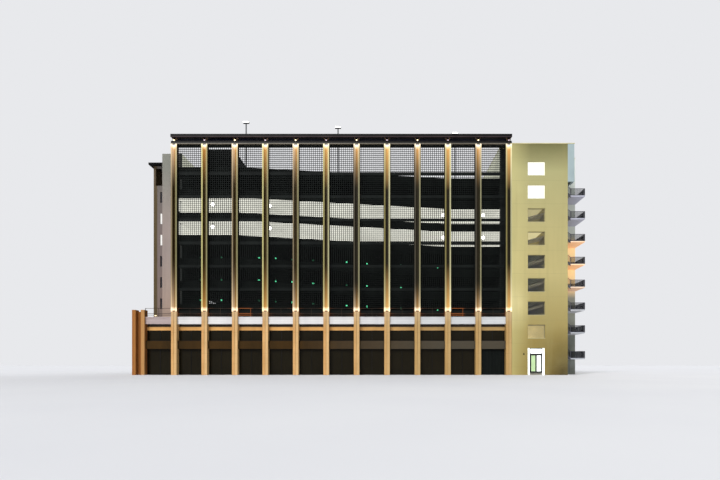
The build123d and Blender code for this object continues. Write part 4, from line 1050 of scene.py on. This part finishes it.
def tower_windows():
    """What shows in the tower windows: two lit ones, stair soffits glowing with painted light, and a drawn
    cream blind glowing with painted light.
    """
    frame_w, count = 0.036, 14
    x0, x1 = WINDOW_X0 + frame_w, WINDOW_X1 - frame_w
    near, far = 0.115, 0.115 + 0.02
    feet = {deck: right_level(deck) + WINDOW_UP for deck in range(1, DECKS + 1)}
    sills = [(WINDOW_X0, WINDOW_X1, -0.015, 0.07, z, z + 0.025) for z in feet.values()]
    # The sills take the coping's colour, paler as a painted highlight
    boxes("window_sills", sills, NODE_SKINS["tower_coping"], bevel=0.008)
    lit = [(x0, x1, near, far, feet[deck] + 0.03, feet[deck] + WINDOW_H - 0.03) for deck in LIT_WINDOWS]
    boxes("lit_blinds", lit, lamp_skin("lit_blind", rgb(255, 255, 252), 1.35, lens=3.0))
    starts = [feet[1] + 0.04 + i * (WINDOW_H - 0.08) / count for i in range(count)]
    slats = [(x0, x1, near, far, z, z + 0.05) for z in starts]
    # The blind glows with painted light from the room behind it
    cream = lamp_skin("cream_blind_glow", rgb(212, 186, 124), 0.85, lens=2.0)
    boxes("cream_blind_glow", slats, cream)
    flights = []
    left, right = WINDOW_X0 - 0.3, WINDOW_X1 + 0.2
    for deck in range(2, LIT_WINDOWS[0]):
        z = feet[deck]
        outline = [(left, z + 0.25), (right, z + 0.72), (right, z + 0.86), (left, z + 0.39)]
        flights.append((outline, 0.5, 1.3))
    # The stair soffits glow with painted light
    soffit = lamp_skin("stair_soffit_glow", rgb(126, 116, 88), 0.5, lens=1.0)
    prisms("inner_flights", flights, soffit)


def roof_lamps():
    """Flood lamp lenses on the masts, whose heads are the only points of their node over head_low."""
    head_low, head_w = 16.9, 0.6
    points = [vertex.co for vertex in frame["nodes"]["lamp_masts"].data.vertices]
    heads = []
    for x in sorted({round(point.x - X0, 3) for point in points if point.z > head_low}):
        if not heads or x - heads[-1][-1] > head_w:
            heads.append([])
        heads[-1].append(x)
    lenses = []
    for head in heads:
        x = (head[0] + head[-1]) / 2
        top = max(point.z for point in points if abs(point.x - X0 - x) < head_w / 2)
        lenses.append((x - 0.19, x + 0.19, MAST_Y - 0.095, MAST_Y - 0.08, top - 0.08, top - 0.01))
    boxes("flood_lenses", lenses, lamp_white, bevel=0.004)


def wall_fixtures():
    """The call box beside the entrance and the lamp on the left terrace."""
    call_box = (26.90, 26.97, -0.03, 0.0, 1.39, 1.49)
    base = (1.44, 1.56, 0.16, 0.26, CANOPY_TOP, CANOPY_TOP + 0.06)
    globe = (1.455, 1.545, 0.175, 0.245, CANOPY_TOP + 0.06, CANOPY_TOP + 0.14)
    boxes("call_box", [call_box], dark_frame, bevel=0.004)
    boxes("terrace_lamp_base", [base], dark_frame, bevel=0.005)
    boxes("terrace_lamp", [globe], lamp_warm, bevel=0.01)


def door_handles():
    """A pull bar on stand-offs on each leaf."""
    middle = (WINDOW_X0 + WINDOW_X1) / 2
    from_middle, bar, stand_off = 0.028, 0.008, 0.006
    low, high = 0.55, 1.0
    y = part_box("door_left")[1].y - Y0 - 0.03
    for name, body, side in (("left_pull", "left_leaf", -1), ("right_pull", "right_leaf", 1)):
        x = middle + side * from_middle
        rows = [(x - bar, x + bar, y - 0.045, y - 0.029, low, high)]
        rows += [(x - stand_off, x + stand_off, y - 0.03, y, z, z + 0.012) for z in (0.62, 0.92)]
        boxes(name, rows, pole_grey, body=body, bevel=0.003)


# Studio: the floor's reach and its drop under the part, and each sun's strength, tilt, turn and spread
FLOOR_REACH = 400.0
FLOOR_DROP = 0.002
SUNS = {"key": (2.4, 50, -28, 25), "fill": (0.7, 55, 150, 40)}


def studio():
    """Pale floor and background, and soft even light."""
    floor_mesh = bpy.data.meshes.new("floor")
    corners = [(x * FLOOR_REACH, y * FLOOR_REACH, 0) for x, y in ((-1, -1), (1, -1), (1, 1), (-1, 1))]
    floor_mesh.from_pydata(corners, [], [(0, 1, 2, 3)])
    floor = bpy.data.objects.new("floor", floor_mesh)
    bpy.context.scene.collection.objects.link(floor)
    floor.location.z = -FLOOR_DROP
    paint = Paint("floor_paint", 0.9, specular=0.1)
    paint.colour(paint.blend(paint.patches(0.2, 4.0, 1.0, 0.3, 0.7), rgb(226, 226, 228), rgb(222, 222, 225)))
    floor_mesh.materials.append(paint.material)
    world = bpy.data.worlds.new("studio")
    bpy.context.scene.world = world
    world.use_nodes = True
    world.node_tree.nodes.clear()
    nodes = Nodes(world.node_tree)
    path = nodes.add("ShaderNodeLightPath").outputs
    seen = nodes.most(path["Is Camera Ray"], path["Is Glossy Ray"])
    seen = nodes.most(seen, path["Is Transmission Ray"])
    light = nodes.add("ShaderNodeBackground", (0.93, 0.96, 1.0, 1.0), 0.5).outputs[0]
    back = nodes.add("ShaderNodeBackground", rgb(232, 233, 236), 1.0).outputs[0]
    nodes.add("ShaderNodeOutputWorld", nodes.add("ShaderNodeMixShader", seen, light, back).outputs[0])
    for name, (strength, tilt, turn, spread) in SUNS.items():
        lamp = bpy.data.lights.new(name, "SUN")
        lamp.energy = strength
        lamp.angle = math.radians(spread)
        holder = bpy.data.objects.new(name, lamp)
        holder.rotation_euler = (math.radians(tilt), 0, math.radians(turn))
        bpy.context.scene.collection.objects.link(holder)
    bpy.context.scene.view_settings.view_transform = "Standard"


# Camera: level, with its axis at this point of the picture as in the photograph
PICTURE_W, PICTURE_H = 720, 480
AXIS_X, AXIS_Y = 383, 365
CAMERA_X, CAMERA_Y, CAMERA_Z = 17.257, -27.5, 0.687
LENS_MM, SENSOR_MM = 20.0, 36.0
FAR = 900.0


def photographer():
    lens = bpy.data.cameras.new("camera")
    lens.lens = LENS_MM
    lens.sensor_width = SENSOR_MM
    lens.clip_end = FAR
    lens.shift_x = (PICTURE_W / 2 - AXIS_X) / PICTURE_W
    lens.shift_y = (AXIS_Y - PICTURE_H / 2) / PICTURE_W
    camera = bpy.data.objects.new("camera", lens)
    camera.location = (X0 + CAMERA_X, Y0 + CAMERA_Y, CAMERA_Z)
    camera.rotation_euler = (math.radians(90), 0, 0)
    bpy.context.scene.collection.objects.link(camera)
    bpy.context.scene.camera = camera


photographer()
dress()
mesh_screens()
side_screens()
cap_mesh()
fin_lamps()
railing_posts()
stair_infill()
storey_lamps()
tower_windows()
roof_lamps()
wall_fixtures()
door_handles()
studio()
